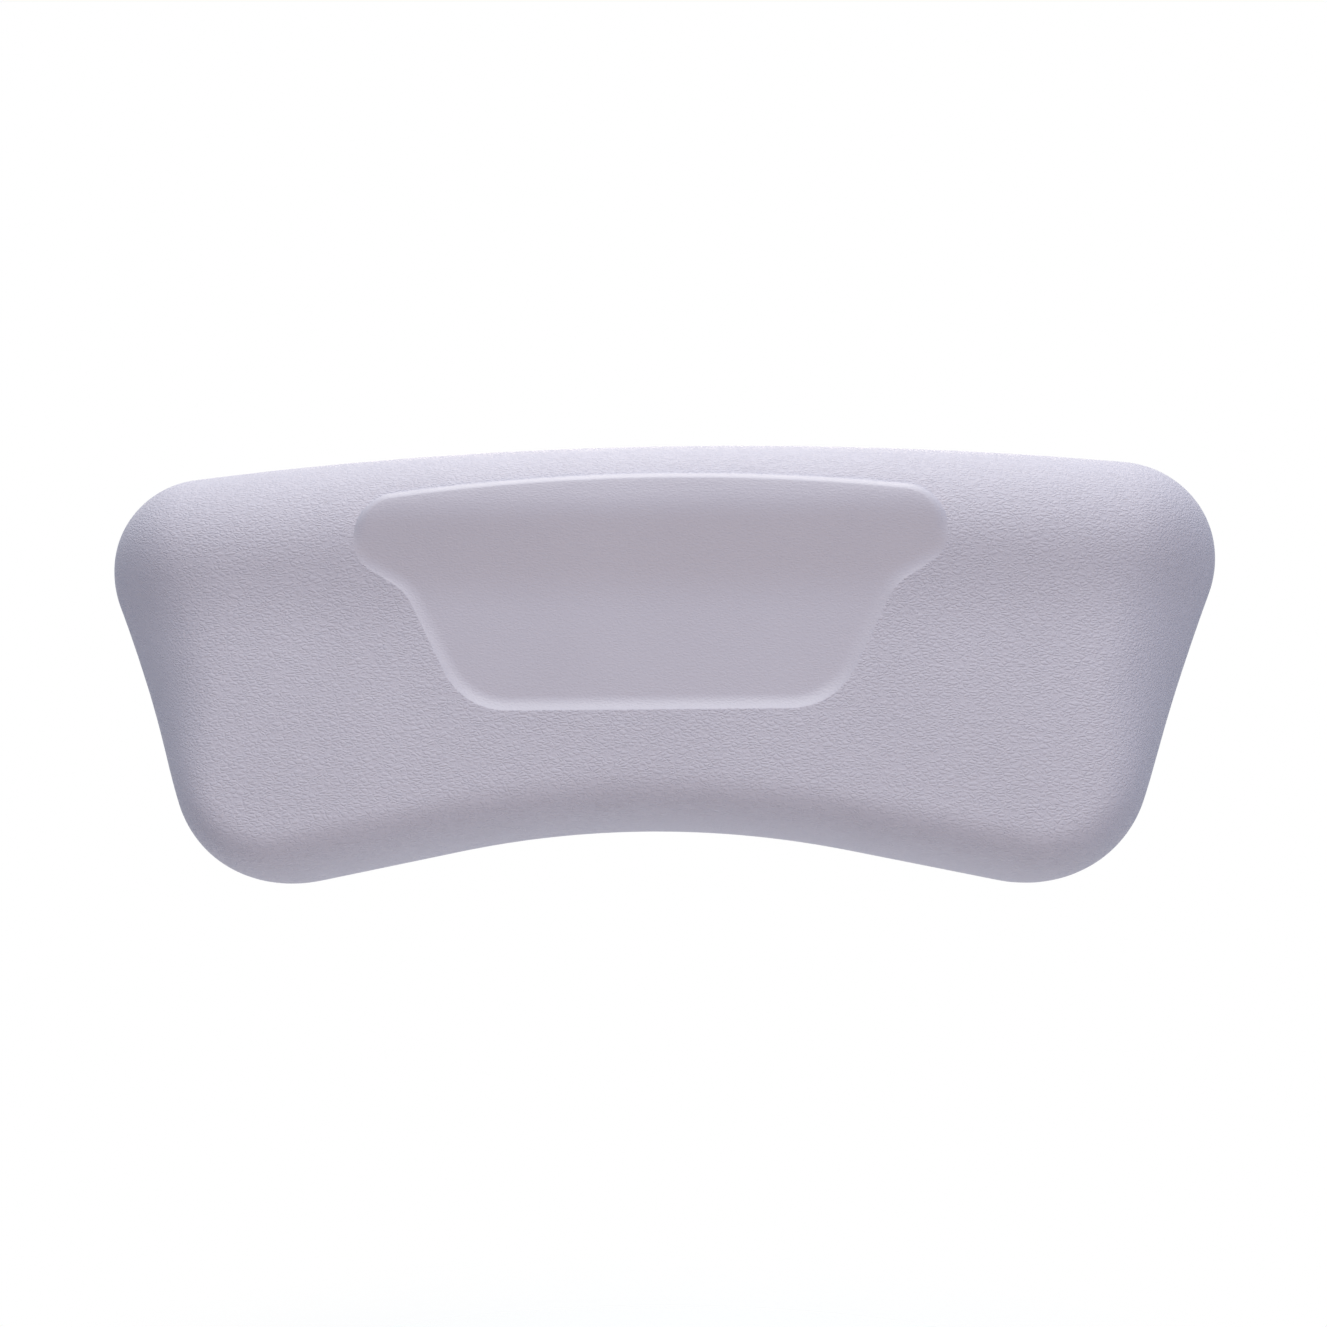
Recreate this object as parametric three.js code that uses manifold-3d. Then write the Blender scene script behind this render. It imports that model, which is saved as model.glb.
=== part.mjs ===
// Hot tub headrest: a moulded foam pillow on a carrier plate that snaps to the tub wall with two sliding pegs.
// Millimetres. X runs across the width, the front faces -Y, the tub wall is the plane y = 0 and Z points up.

import * as THREE from 'three';
import { mergeVertices } from 'three/addons/utils/BufferGeometryUtils.js';
import Module from 'manifold-3d';

const wasm = await Module();
wasm.setup();

// Outline of the pillow: where its straight lines would meet, and the radius that rounds each meeting
const CROWN_Z = 62;
const CROWN_RADIUS = 1280;
const SHOULDER_X = 170.9;
const SHOULDER_Z = 44.4;
const SHOULDER_RADIUS = 28.5;
const LOBE_X = 126.5;
const LOBE_Z = -76.2;
const LOBE_RADIUS = 36.2;
const ARCH_Z = -50.7;
const ARCH_RADIUS = 281;

// Outline of the smooth panel in the front, in the same way
const PANEL_CROWN_Z = 49.1;
const PANEL_CROWN_RADIUS = 590;
const PANEL_WING_X = 80.9;
const PANEL_WING_TOP_Z = 39.5;
const PANEL_WING_TOP_RADIUS = 11.8;
const PANEL_WING_LOW_Z = 22.2;
const PANEL_WING_LOW_RADIUS = 8.4;
const PANEL_NOTCH_X = 66.8;
const PANEL_NOTCH_Z = 13.2;
const PANEL_NOTCH_RADIUS = 13.2;
const PANEL_FOOT_X = 50.3;
const PANEL_FOOT_Z = -19.7;
const PANEL_FOOT_RADIUS = 19.8;

// Thickness of the pillow, measured forward from the wall
const GIRTH_DEPTH = 15;
const FRONT_DEPTH = 46;
const FRONT_ROUND = 30;
const LOWER_ROUND = 20;
const LOWER_ROUND_FROM_Z = -10;
const LOWER_ROUND_TO_Z = -45;
const ROUND_POWER = 2.2;
const BACK_ROUND = 12;

// Fall of the front toward both ends
const END_FALL = 0.25;
const END_FROM_X = 100;
const END_TO_X = 150;

// Hollow in the front at both ends, under the roll along the top
const HOLLOW_DEPTH = 6;
const HOLLOW_FROM_X = 118;
const HOLLOW_TO_X = 160;
const HOLLOW_TOP_Z = 36;
const HOLLOW_MIDDLE_Z = 3;
const HOLLOW_BOTTOM_Z = -50;

// Forward lean of the pillow below its waist, steeper at the wings than in the middle
const LEAN_FROM_Z = 20;
const LEAN_TO_Z = -4;
const LEAN_MIDDLE = 0.18;
const LEAN_WING = 0.21;
const WING_FROM_X = 20;
const WING_TO_X = 110;

// Front of the panel: a roll for the head along its top, a fall back to the waist, then a forward lean
const ROLL_DEPTH = 46.35;
const ROLL_FROM_Z = 30;
const ROLL_TO_Z = 41;
const ROLL_TILT = 0.3;
const PANEL_FALL = 0.08;
const PANEL_LEAN_FROM_Z = 21;
const PANEL_LEAN_TO_Z = 5;
const PANEL_LEAN = 0.13;

// Edge of the panel: a steep ledge along its top, and a soft hollow round its foot
const LEDGE_ROUND = 2;
const HOLLOW_ROUND = 5;
const LEDGE_FROM_Z = 26;
const LEDGE_TO_Z = 42;
const LEDGE_POWER = 0.5;

// Layers behind the skin
const SKIN = 2.5;
const GAP = 0.3;
const RIM_SETBACK = 2;
const RIM_LAP = 6;
const RIM_THICK = 3;

// Pegs that slide in pockets of the plate, under screwed keepers
const PEG_X = 75;
const PEG_TRAVEL = 3;
const FOOT_WIDTH = 26;
const FOOT_HEIGHT = 18;
const FOOT_THICK = 4;
const FOOT_CORNER = 4;
const KEEPER_WIDTH = 60;
const KEEPER_HEIGHT = 30;
const KEEPER_CORNER = 7;
const POCKET_WALL = 2.5;

// Turned part of a peg, with distances into the wall
const SHANK_RADIUS = 5.5;
const GROOVE_RADIUS = 4.5;
const GROOVE_Y = 5.4;
const BARB_RADIUS = 6.7;
const BARB_Y = 11;
const BARB_RISE = 1.2;
const BARB_LAND = 1;
const TIP_RADIUS = 4;
const TIP_CHAMFER = 0.8;
const PEG_LENGTH = 24;
const SPLIT_WIDTH = 2.4;
const SPLIT_Y = 9.5;

// Rubber ring on each peg
const RING_SECTION = 1;

// Countersunk keeper screws
const SCREW_EDGE = 6.5;
const SCREW_HEAD_RADIUS = 2.8;
const SCREW_RADIUS = 1.45;
const SCREW_SINK = 0.25;
const SCREW_CONE = 1.5;
const SCREW_LENGTH = 8;
const SCREW_POINT = 0.8;
const RECESS_LONG = 3;
const RECESS_WIDE = 0.8;
const RECESS_DEEP = 0.9;

// Pans in the back of the plate, with ribs left between them
const RIB = 4;
const PAN_DEPTH = 3.2;
const PAN_CORNER = 3.5;
const MIDDLE_BAR = 18;
const MIDDLE_PAN_HEIGHT = 22;
const UPPER_PAN_WIDTH = 70;
const UPPER_PAN_HEIGHT = 9;
const UPPER_PAN_SHIFT = 8;
const LOWER_PAN_WIDTH = 58;
const LOWER_PAN_HEIGHT = 15;
const LOWER_PAN_SHIFT = 3;
const END_PAN_WIDTH = 15;
const END_PAN_HEIGHT = 26;

// Mesh density
const ARC_STEP = THREE.MathUtils.degToRad(1);
const SAMPLE_LENGTH = 15;
const SAMPLE_TURN = THREE.MathUtils.degToRad(12);
const QUARTER_COUNT = 13;
const EDGE_ROWS = 3;
const FACE_ROWS = 2;
const FACE_SHARE = 0.85;
const BACK_ROWS = 2;
const PANEL_EDGE_SHARES = [0, 0.3, 1];
const PANEL_ROWS = 3;
const TURNED_SIDES = 32;
const SCREW_SIDES = 16;
const RING_SIDES = 10;
const CORNER_STEPS = 5;

const { lerp, clamp, smoothstep } = THREE.MathUtils;

// Right half of each outline from the top down: x, z and corner radius
const PAD_CORNERS = [
  [0, CROWN_Z, CROWN_RADIUS],
  [SHOULDER_X, SHOULDER_Z, SHOULDER_RADIUS],
  [LOBE_X, LOBE_Z, LOBE_RADIUS],
  [0, ARCH_Z, ARCH_RADIUS],
];
const PANEL_CORNERS = [
  [0, PANEL_CROWN_Z, PANEL_CROWN_RADIUS],
  [PANEL_WING_X, PANEL_WING_TOP_Z, PANEL_WING_TOP_RADIUS],
  [PANEL_WING_X, PANEL_WING_LOW_Z, PANEL_WING_LOW_RADIUS],
  [PANEL_NOTCH_X, PANEL_NOTCH_Z, PANEL_NOTCH_RADIUS],
  [PANEL_FOOT_X, PANEL_FOOT_Z, PANEL_FOOT_RADIUS],
  [0, PANEL_FOOT_Z, 0],
];

// The upper half of both outlines ends after this corner
const UPPER_LAST_INDEX = 1;

// Levels behind the skin, as y
const RIM_BACK = -(SKIN + GAP);
const PLATE_FRONT = RIM_BACK - RIM_THICK;
const KEEPER_FRONT = -SKIN;
const FOOT_BACK = KEEPER_FRONT - GAP;
const FOOT_FRONT = FOOT_BACK - FOOT_THICK;
const POCKET_FLOOR = FOOT_FRONT - GAP;
const BLOCK_FRONT = POCKET_FLOOR - POCKET_WALL;

// Insets from the pillow's outline
const PLATE_INSET = BACK_ROUND + RIM_SETBACK;
const OPENING_INSET = PLATE_INSET + RIM_LAP;

const BLOCK_WIDTH = KEEPER_WIDTH + 2 * POCKET_WALL;
const BLOCK_HEIGHT = KEEPER_HEIGHT + 2 * POCKET_WALL;
const SCREW_X = KEEPER_WIDTH / 2 - SCREW_EDGE;
const SIDES = [-1, 1];

// Fine chain of points with inward normals along the right half of a rounded outline
function roundedHalf(corners) {
  const chain = [];
  const arcEnds = [];
  const last = corners.length - 1;
  corners.forEach(([x, z, radius], i) => {
    const [beforeX, beforeZ] = i > 0 ? corners[i - 1] : [-corners[1][0], corners[1][1]];
    const [afterX, afterZ] = i < last ? corners[i + 1] : [-corners[last - 1][0], corners[last - 1][1]];
    const heading = Math.atan2(z - beforeZ, x - beforeX);
    const leaving = Math.atan2(afterZ - z, afterX - x);
    const turn = Math.atan2(Math.sin(leaving - heading), Math.cos(leaving - heading));
    const side = turn > 0 ? -1 : 1;
    const tangent = radius * Math.tan(Math.abs(turn) / 2);
    const startX = x - Math.cos(heading) * tangent;
    const startZ = z - Math.sin(heading) * tangent;
    const centreX = startX + side * radius * Math.sin(heading);
    const centreZ = startZ - side * radius * Math.cos(heading);
    const from = i === 0 ? turn / 2 : 0;
    const to = i === last ? turn / 2 : turn;
    const steps = Math.ceil(Math.abs(to - from) / ARC_STEP);
    for (let k = 0; k <= steps; k += 1) {
      const angle = heading + lerp(from, to, k / Math.max(1, steps));
      const normalX = Math.sin(angle);
      const normalZ = -Math.cos(angle);
      chain.push({
        x: centreX - side * radius * normalX,
        z: centreZ - side * radius * normalZ,
        nx: normalX,
        nz: normalZ,
      });
    }
    arcEnds.push(chain.length - 1);
  });
  return { chain, arcEnds };
}

function between(a, b, share) {
  return {
    x: lerp(a.x, b.x, share),
    z: lerp(a.z, b.z, share),
    nx: lerp(a.nx, b.nx, share),
    nz: lerp(a.nz, b.nz, share),
  };
}

// Points along a chain, closer together where it turns
function spread(chain, count) {
  const reach = [0];
  for (let i = 1; i < chain.length; i += 1) {
    const a = chain[i - 1];
    const b = chain[i];
    const turn = Math.acos(clamp(a.nx * b.nx + a.nz * b.nz, -1, 1));
    reach.push(reach[i - 1] + Math.hypot(b.x - a.x, b.z - a.z) / SAMPLE_LENGTH + turn / SAMPLE_TURN);
  }
  const total = reach[reach.length - 1];
  const points = [];
  let i = 1;
  for (let k = 0; k <= count; k += 1) {
    const want = total * k / count;
    while (i < chain.length - 1 && reach[i] < want) {
      i += 1;
    }
    points.push(between(chain[i - 1], chain[i], (want - reach[i - 1]) / (reach[i] - reach[i - 1])));
  }
  return points;
}

// Point at a given x along a chain whose x grows
function atX(chain, x) {
  const i = clamp(chain.findIndex((point) => point.x >= x), 1, chain.length - 1);
  const a = chain[i - 1];
  const b = chain[i];
  return between(a, b, b.x > a.x ? clamp((x - a.x) / (b.x - a.x), 0, 1) : 1);
}

function mirrored(half) {
  const left = half.slice(1, -1).reverse().map((p) => ({ x: -p.x, z: p.z, nx: -p.nx, nz: p.nz }));
  return [...half, ...left];
}

function inset(ring, distance) {
  return ring.map((p) => ({ ...p, x: p.x + p.nx * distance, z: p.z + p.nz * distance }));
}

const padFine = roundedHalf(PAD_CORNERS);
const padUpper = spread(padFine.chain.slice(0, padFine.arcEnds[UPPER_LAST_INDEX] + 1), QUARTER_COUNT);
const padLower = spread(padFine.chain.slice(padFine.arcEnds[UPPER_LAST_INDEX]), QUARTER_COUNT);
const padRing = mirrored([...padUpper, ...padLower.slice(1)]);
const padChain = mirrored(padFine.chain);

// The panel's upper points stand above its lower ones, so that its columns run straight up
const panelFine = roundedHalf(PANEL_CORNERS);
const panelUpperChain = panelFine.chain.slice(0, panelFine.arcEnds[UPPER_LAST_INDEX] + 1);
const panelLower = spread(panelFine.chain.slice(panelFine.arcEnds[UPPER_LAST_INDEX]), QUARTER_COUNT);
const panelUpper = panelLower.slice(1).reverse().map((p) => atX(panelUpperChain, p.x));
const panelRing = mirrored([...panelUpper, ...panelLower]);

function distanceToOutline(x, z) {
  let nearest = Infinity;
  padChain.forEach((a, i) => {
    const b = padChain[(i + 1) % padChain.length];
    const dx = b.x - a.x;
    const dz = b.z - a.z;
    const span = dx * dx + dz * dz;
    const share = span > 0 ? clamp(((x - a.x) * dx + (z - a.z) * dz) / span, 0, 1) : 0;
    nearest = Math.min(nearest, Math.hypot(x - a.x - share * dx, z - a.z - share * dz));
  });
  return nearest;
}

// Height of a soft quarter round, from 0 at its foot to 1 where it runs level
function softRound(share) {
  return Math.sqrt(1 - (1 - clamp(share, 0, 1)) ** ROUND_POWER);
}

// Climb from 0, with a slope that grows smoothly from 0 at low to 1 at high
function ramp(value, low, high) {
  const share = clamp((value - low) / (high - low), 0, 1);
  return (high - low) * (share ** 3 - share ** 4 / 2) + Math.max(0, value - high);
}

function endHollow(x, z) {
  const below = smoothstep(z, HOLLOW_BOTTOM_Z, HOLLOW_MIDDLE_Z);
  const above = 1 - smoothstep(z, HOLLOW_MIDDLE_Z, HOLLOW_TOP_Z);
  return HOLLOW_DEPTH * smoothstep(Math.abs(x), HOLLOW_FROM_X, HOLLOW_TO_X) * below * above;
}

// Depth of the open front, before its edge is rounded over
function frontDepth(x, z) {
  const lean = lerp(LEAN_MIDDLE, LEAN_WING, smoothstep(Math.abs(x), WING_FROM_X, WING_TO_X));
  const fall = END_FALL * ramp(Math.abs(x), END_FROM_X, END_TO_X) + endHollow(x, z);
  return FRONT_DEPTH - fall + lean * ramp(-z, -LEAN_FROM_Z, -LEAN_TO_Z);
}

function edgeRound(z) {
  return lerp(LOWER_ROUND, FRONT_ROUND, smoothstep(z, LOWER_ROUND_TO_Z, LOWER_ROUND_FROM_Z));
}

// Depth of the pillow's surface, or of a layer a given distance inside it
function padDepth(x, z, layer) {
  const share = (distanceToOutline(x, z) - layer) / (edgeRound(z) - layer);
  return lerp(GIRTH_DEPTH, frontDepth(x, z) - layer, softRound(share));
}

// Depth of the panel's open face
function panelDepth(z) {
  const roll = (PANEL_FALL + ROLL_TILT) * ramp(z, ROLL_FROM_Z, ROLL_TO_Z);
  const lean = (PANEL_FALL + PANEL_LEAN) * ramp(-z, -PANEL_LEAN_FROM_Z, -PANEL_LEAN_TO_Z);
  return ROLL_DEPTH + PANEL_FALL * (z - ROLL_FROM_Z) - roll + lean;
}

// How far the panel's edge is a ledge: 1 along its top, 0 round its foot
function ledgeShare(z) {
  return smoothstep(z, LEDGE_FROM_Z, LEDGE_TO_Z);
}

// Share of the way from the pillow to the panel's face, across the panel's rounded edge
function edgeRise(share, z) {
  return (1 - (1 - share) ** 2) ** lerp(1, LEDGE_POWER, ledgeShare(z));
}

// Collects the points and faces of one closed surface
class Surface {
  constructor() {
    this.points = [];
    this.faces = [];
  }

  add(x, y, z) {
    this.points.push([x, y, z]);
    return this.points.length - 1;
  }

  ring(outline, y) {
    return outline.map((p) => this.add(p.x, y, p.z));
  }

  face(a, b, c) {
    if (a !== b && b !== c && c !== a) {
      this.faces.push([a, b, c]);
    }
  }

  // Two faces, split along the shorter diagonal so that layers lie parallel
  quad(a, b, c, d) {
    const span = (from, to) => Math.hypot(...this.points[from].map((v, k) => v - this.points[to][k]));
    if (span(a, c) < span(b, d)) {
      this.face(a, b, c);
      this.face(a, c, d);
    } else {
      this.face(a, b, d);
      this.face(b, c, d);
    }
  }

  band(first, second) {
    first.forEach((a, i) => {
      const next = (i + 1) % first.length;
      this.quad(a, first[next], second[next], second[i]);
    });
  }

  // Flat face across the last ring, looking back
  close(ring) {
    const contour = ring.map((i) => new THREE.Vector2(this.points[i][0], this.points[i][2]));
    THREE.ShapeUtils.triangulateShape(contour, []).forEach(([a, b, c]) => {
      this.face(ring[a], ring[c], ring[b]);
    });
  }

  // Fill of the panel's inner ring, in columns from its right tip to its left tip
  panelFill(ring, layer, backward) {
    const count = ring.length;
    const columns = [];
    for (let k = 0; k <= 2 * QUARTER_COUNT; k += 1) {
      const top = ring[(QUARTER_COUNT - k + count) % count];
      const bottom = ring[QUARTER_COUNT + k];
      const column = [top];
      for (let row = 1; row < PANEL_ROWS; row += 1) {
        if (top === bottom) {
          column.push(top);
        } else {
          const x = lerp(this.points[top][0], this.points[bottom][0], row / PANEL_ROWS);
          const z = lerp(this.points[top][2], this.points[bottom][2], row / PANEL_ROWS);
          column.push(this.add(x, layer - panelDepth(z), z));
        }
      }
      columns.push([...column, bottom]);
    }
    for (let k = 1; k < columns.length; k += 1) {
      const right = columns[k - 1];
      const left = columns[k];
      for (let row = 0; row < PANEL_ROWS; row += 1) {
        const corners = [right[row], left[row], left[row + 1], right[row + 1]];
        this.quad(...(backward ? corners.reverse() : corners));
      }
    }
  }

  // Draws every point inward, square to the surface
  shrink(distance) {
    const normal = this.geometry().getAttribute('normal');
    this.points = this.points.map(([x, y, z], i) => [
      x - normal.getX(i) * distance,
      y - normal.getY(i) * distance,
      z - normal.getZ(i) * distance,
    ]);
  }

  geometry() {
    const geometry = new THREE.BufferGeometry();
    geometry.setAttribute('position', new THREE.Float32BufferAttribute(this.points.flat(), 3));
    geometry.setIndex(this.faces.flat());
    geometry.computeVertexNormals();
    return geometry;
  }
}

// Rings of one layer of the pillow, from inside the panel over the front and round to the flat back
function layerRings(surface, layer) {
  const rings = [];
  PANEL_EDGE_SHARES.forEach((share) => {
    const ring = panelRing.map((p) => {
      const ledge = ledgeShare(p.z);
      const distance = layer * ledge + lerp(HOLLOW_ROUND, LEDGE_ROUND, ledge) * share;
      const x = p.x + p.nx * distance;
      const z = p.z + p.nz * distance;
      const depth = lerp(padDepth(x, z, layer), panelDepth(z) - layer, edgeRise(share, p.z));
      return surface.add(x, -depth, z);
    });
    rings.unshift(ring);
  });
  const outer = inset(padRing, layer);
  const shares = [];
  for (let row = 0; row < FACE_ROWS - 1; row += 1) {
    shares.push((limit) => lerp(1, limit, (row + 1) / FACE_ROWS));
  }
  for (let row = EDGE_ROWS; row >= 0; row -= 1) {
    shares.push((limit) => limit * (1 - Math.cos(row / EDGE_ROWS * Math.PI / 2)));
  }
  shares.forEach((shareOf) => {
    rings.push(outer.map((p, i) => {
      const inner = panelRing[i];
      const width = Math.hypot(inner.x - p.x, inner.z - p.z);
      const share = shareOf(Math.min(FACE_SHARE, (FRONT_ROUND - layer) / width));
      const x = lerp(p.x, inner.x, share);
      const z = lerp(p.z, inner.z, share);
      return surface.add(x, -padDepth(x, z, layer), z);
    }));
  });
  for (let row = 1; row <= BACK_ROWS; row += 1) {
    const angle = row / BACK_ROWS * Math.PI / 2;
    const distance = (BACK_ROUND - layer) * (1 - Math.cos(angle));
    rings.push(surface.ring(inset(outer, distance), -lerp(GIRTH_DEPTH, layer, Math.sin(angle))));
  }
  return rings;
}

function outerSkin() {
  const surface = new Surface();
  const outside = layerRings(surface, 0);
  const inside = layerRings(surface, SKIN);
  const opening = inset(padRing, OPENING_INSET);
  const rings = [...outside, surface.ring(opening, 0), surface.ring(opening, -SKIN), ...inside.reverse()];
  for (let i = 1; i < rings.length; i += 1) {
    surface.band(rings[i - 1], rings[i]);
  }
  surface.panelFill(rings[0], 0, false);
  surface.panelFill(rings[rings.length - 1], SKIN, true);
  return surface.geometry();
}

// Solid that can be joined and cut, from any closed geometry
function solid(geometry) {
  geometry.deleteAttribute('normal');
  geometry.deleteAttribute('uv');
  const welded = mergeVertices(geometry);
  const index = welded.getIndex().array;
  const faces = [];
  for (let i = 0; i < index.length; i += 3) {
    const [a, b, c] = index.slice(i, i + 3);
    if (a !== b && b !== c && c !== a) {
      faces.push(a, b, c);
    }
  }
  return new wasm.Manifold(new wasm.Mesh({
    numProp: 3,
    vertProperties: Float32Array.from(welded.getAttribute('position').array),
    triVerts: Uint32Array.from(faces),
  }));
}

function cutGeometry(shape) {
  const mesh = shape.getMesh();
  const geometry = new THREE.BufferGeometry();
  geometry.setAttribute('position', new THREE.BufferAttribute(mesh.vertProperties, mesh.numProp));
  geometry.setIndex(new THREE.BufferAttribute(mesh.triVerts, 1));
  geometry.computeVertexNormals();
  return geometry;
}

// Straight block between two depths, from an outline drawn in X and Z
function block(shape, front, back, x = 0, z = 0) {
  const geometry = new THREE.ExtrudeGeometry(shape, {
    depth: back - front,
    bevelEnabled: false,
    curveSegments: CORNER_STEPS,
  });
  return solid(geometry.rotateX(Math.PI / 2).translate(x, back, z));
}

function roundedBox(width, height, radius) {
  const x = width / 2 - radius;
  const z = height / 2 - radius;
  const shape = new THREE.Shape();
  shape.absarc(x, z, radius, 0, Math.PI / 2);
  shape.absarc(-x, z, radius, Math.PI / 2, Math.PI);
  shape.absarc(-x, -z, radius, Math.PI, 1.5 * Math.PI);
  shape.absarc(x, -z, radius, 1.5 * Math.PI, 2 * Math.PI);
  return shape;
}

// Straight slot with round ends, lying along X
function roundSlot(length, width) {
  const x = (length - width) / 2;
  const shape = new THREE.Shape();
  shape.absarc(x, 0, width / 2, -Math.PI / 2, Math.PI / 2);
  shape.absarc(-x, 0, width / 2, Math.PI / 2, 1.5 * Math.PI);
  return shape;
}

function padShape(distance) {
  return new THREE.Shape(inset(padRing, distance).map((p) => new THREE.Vector2(p.x, p.z)));
}

// Solid turned about an axis along Y, from radius and y pairs given front to back
function turned(profile, sides, x = 0) {
  const points = profile.map(([radius, y]) => new THREE.Vector2(radius, y));
  return solid(new THREE.LatheGeometry(points, sides).translate(x, 0, 0));
}

function foamCore() {
  const surface = new Surface();
  const rings = layerRings(surface, SKIN);
  for (let i = 1; i < rings.length; i += 1) {
    surface.band(rings[i - 1], rings[i]);
  }
  surface.panelFill(rings[0], SKIN, false);
  surface.close(rings[rings.length - 1]);
  surface.shrink(GAP);
  let foam = solid(surface.geometry());
  foam = foam.subtract(block(padShape(PLATE_INSET - GAP), PLATE_FRONT - GAP, 0));
  const room = roundedBox(BLOCK_WIDTH + 2 * GAP, BLOCK_HEIGHT + 2 * GAP, KEEPER_CORNER);
  SIDES.forEach((side) => {
    foam = foam.subtract(block(room, BLOCK_FRONT - GAP, 0, side * PEG_X));
  });
  return cutGeometry(foam);
}

function screwProfile(clearance) {
  const cone = -SCREW_SINK - SCREW_CONE;
  const point = -SCREW_LENGTH - clearance;
  return [
    [0, point],
    [SCREW_RADIUS / 2 + clearance, point],
    [SCREW_RADIUS + clearance, point + SCREW_POINT],
    [SCREW_RADIUS + clearance, cone],
    [SCREW_HEAD_RADIUS + clearance, -SCREW_SINK],
  ];
}

// Room for a screw, open at the back
function screwHole(x) {
  const mouth = [[SCREW_HEAD_RADIUS + GAP, GAP], [0, GAP]];
  return turned([...screwProfile(GAP), ...mouth], SCREW_SIDES, x);
}

// Pans of the plate's right half: x, z, width and height
function pans() {
  const middleWidth = 2 * (PEG_X - KEEPER_WIDTH / 2 - RIB);
  const middleZ = (MIDDLE_BAR + MIDDLE_PAN_HEIGHT) / 2;
  const upperZ = KEEPER_HEIGHT / 2 + RIB + UPPER_PAN_HEIGHT / 2;
  const lowerZ = -(KEEPER_HEIGHT / 2 + RIB + LOWER_PAN_HEIGHT / 2);
  const endX = PEG_X + KEEPER_WIDTH / 2 + RIB + END_PAN_WIDTH / 2;
  return [
    [0, middleZ, middleWidth, MIDDLE_PAN_HEIGHT],
    [0, -middleZ, middleWidth, MIDDLE_PAN_HEIGHT],
    [PEG_X + UPPER_PAN_SHIFT, upperZ, UPPER_PAN_WIDTH, UPPER_PAN_HEIGHT],
    [PEG_X + LOWER_PAN_SHIFT, lowerZ, LOWER_PAN_WIDTH, LOWER_PAN_HEIGHT],
    [endX, 0, END_PAN_WIDTH, END_PAN_HEIGHT],
  ];
}

function carrierPlate() {
  const tower = roundedBox(BLOCK_WIDTH, BLOCK_HEIGHT, KEEPER_CORNER);
  const seat = roundedBox(KEEPER_WIDTH + 2 * GAP, KEEPER_HEIGHT + 2 * GAP, KEEPER_CORNER + GAP);
  const pocketWidth = FOOT_WIDTH + 2 * PEG_TRAVEL + 2 * GAP;
  const pocket = roundedBox(pocketWidth, FOOT_HEIGHT + 2 * GAP, FOOT_CORNER);
  let plate = block(padShape(PLATE_INSET), PLATE_FRONT, RIM_BACK);
  plate = plate.add(block(padShape(OPENING_INSET + GAP), PLATE_FRONT, 0));
  SIDES.forEach((side) => {
    const x = side * PEG_X;
    plate = plate.add(block(tower, BLOCK_FRONT, RIM_BACK, x));
    plate = plate.subtract(block(seat, FOOT_BACK, GAP, x));
    plate = plate.subtract(block(pocket, POCKET_FLOOR, GAP, x));
    SIDES.forEach((end) => {
      plate = plate.subtract(screwHole(x + end * SCREW_X));
    });
    pans().forEach(([panX, panZ, width, height]) => {
      const pan = roundedBox(width, height, PAN_CORNER);
      plate = plate.subtract(block(pan, -PAN_DEPTH, GAP, side * panX, panZ));
    });
  });
  return cutGeometry(plate);
}

function keeper() {
  const slotWidth = 2 * (SHANK_RADIUS + GAP);
  const slot = roundSlot(slotWidth + 2 * PEG_TRAVEL, slotWidth);
  let cover = block(roundedBox(KEEPER_WIDTH, KEEPER_HEIGHT, KEEPER_CORNER), KEEPER_FRONT, 0);
  cover = cover.subtract(block(slot, KEEPER_FRONT - GAP, GAP));
  SIDES.forEach((end) => {
    cover = cover.subtract(screwHole(end * SCREW_X));
  });
  return cutGeometry(cover);
}

function peg() {
  const ease = (SHANK_RADIUS - GROOVE_RADIUS) / 2;
  const half = RING_SECTION + GAP;
  const crest = BARB_Y + BARB_RISE;
  const root = (FOOT_FRONT + FOOT_BACK) / 2;
  const shank = turned([
    [0, root],
    [SHANK_RADIUS, root],
    [SHANK_RADIUS, GROOVE_Y - half - ease],
    [GROOVE_RADIUS, GROOVE_Y - half],
    [GROOVE_RADIUS, GROOVE_Y + half],
    [SHANK_RADIUS, GROOVE_Y + half + ease],
    [SHANK_RADIUS, BARB_Y],
    [BARB_RADIUS, crest],
    [BARB_RADIUS, crest + BARB_LAND],
    [TIP_RADIUS + TIP_CHAMFER / 2, PEG_LENGTH - TIP_CHAMFER],
    [TIP_RADIUS, PEG_LENGTH],
    [0, PEG_LENGTH],
  ], TURNED_SIDES);
  const foot = block(roundedBox(FOOT_WIDTH, FOOT_HEIGHT, FOOT_CORNER), FOOT_FRONT, FOOT_BACK);
  const split = roundedBox(SPLIT_WIDTH, 4 * BARB_RADIUS, SPLIT_WIDTH / 4);
  return cutGeometry(shank.add(foot).subtract(block(split, SPLIT_Y, PEG_LENGTH + GAP)));
}

// Rubber ring lying in the groove of a peg
function pegRing() {
  const reach = GROOVE_RADIUS + GAP + RING_SECTION;
  const ring = new THREE.TorusGeometry(reach, RING_SECTION, RING_SIDES, TURNED_SIDES);
  return cutGeometry(solid(ring.rotateX(Math.PI / 2)));
}

function keeperScrew() {
  const floor = -SCREW_SINK - RECESS_DEEP;
  const across = block(roundedBox(RECESS_LONG, RECESS_WIDE, RECESS_WIDE / 4), floor, GAP);
  const upright = block(roundedBox(RECESS_WIDE, RECESS_LONG, RECESS_WIDE / 4), floor, GAP);
  const screw = turned([...screwProfile(0), [0, -SCREW_SINK]], SCREW_SIDES);
  return cutGeometry(screw.subtract(across.add(upright)));
}

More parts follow.
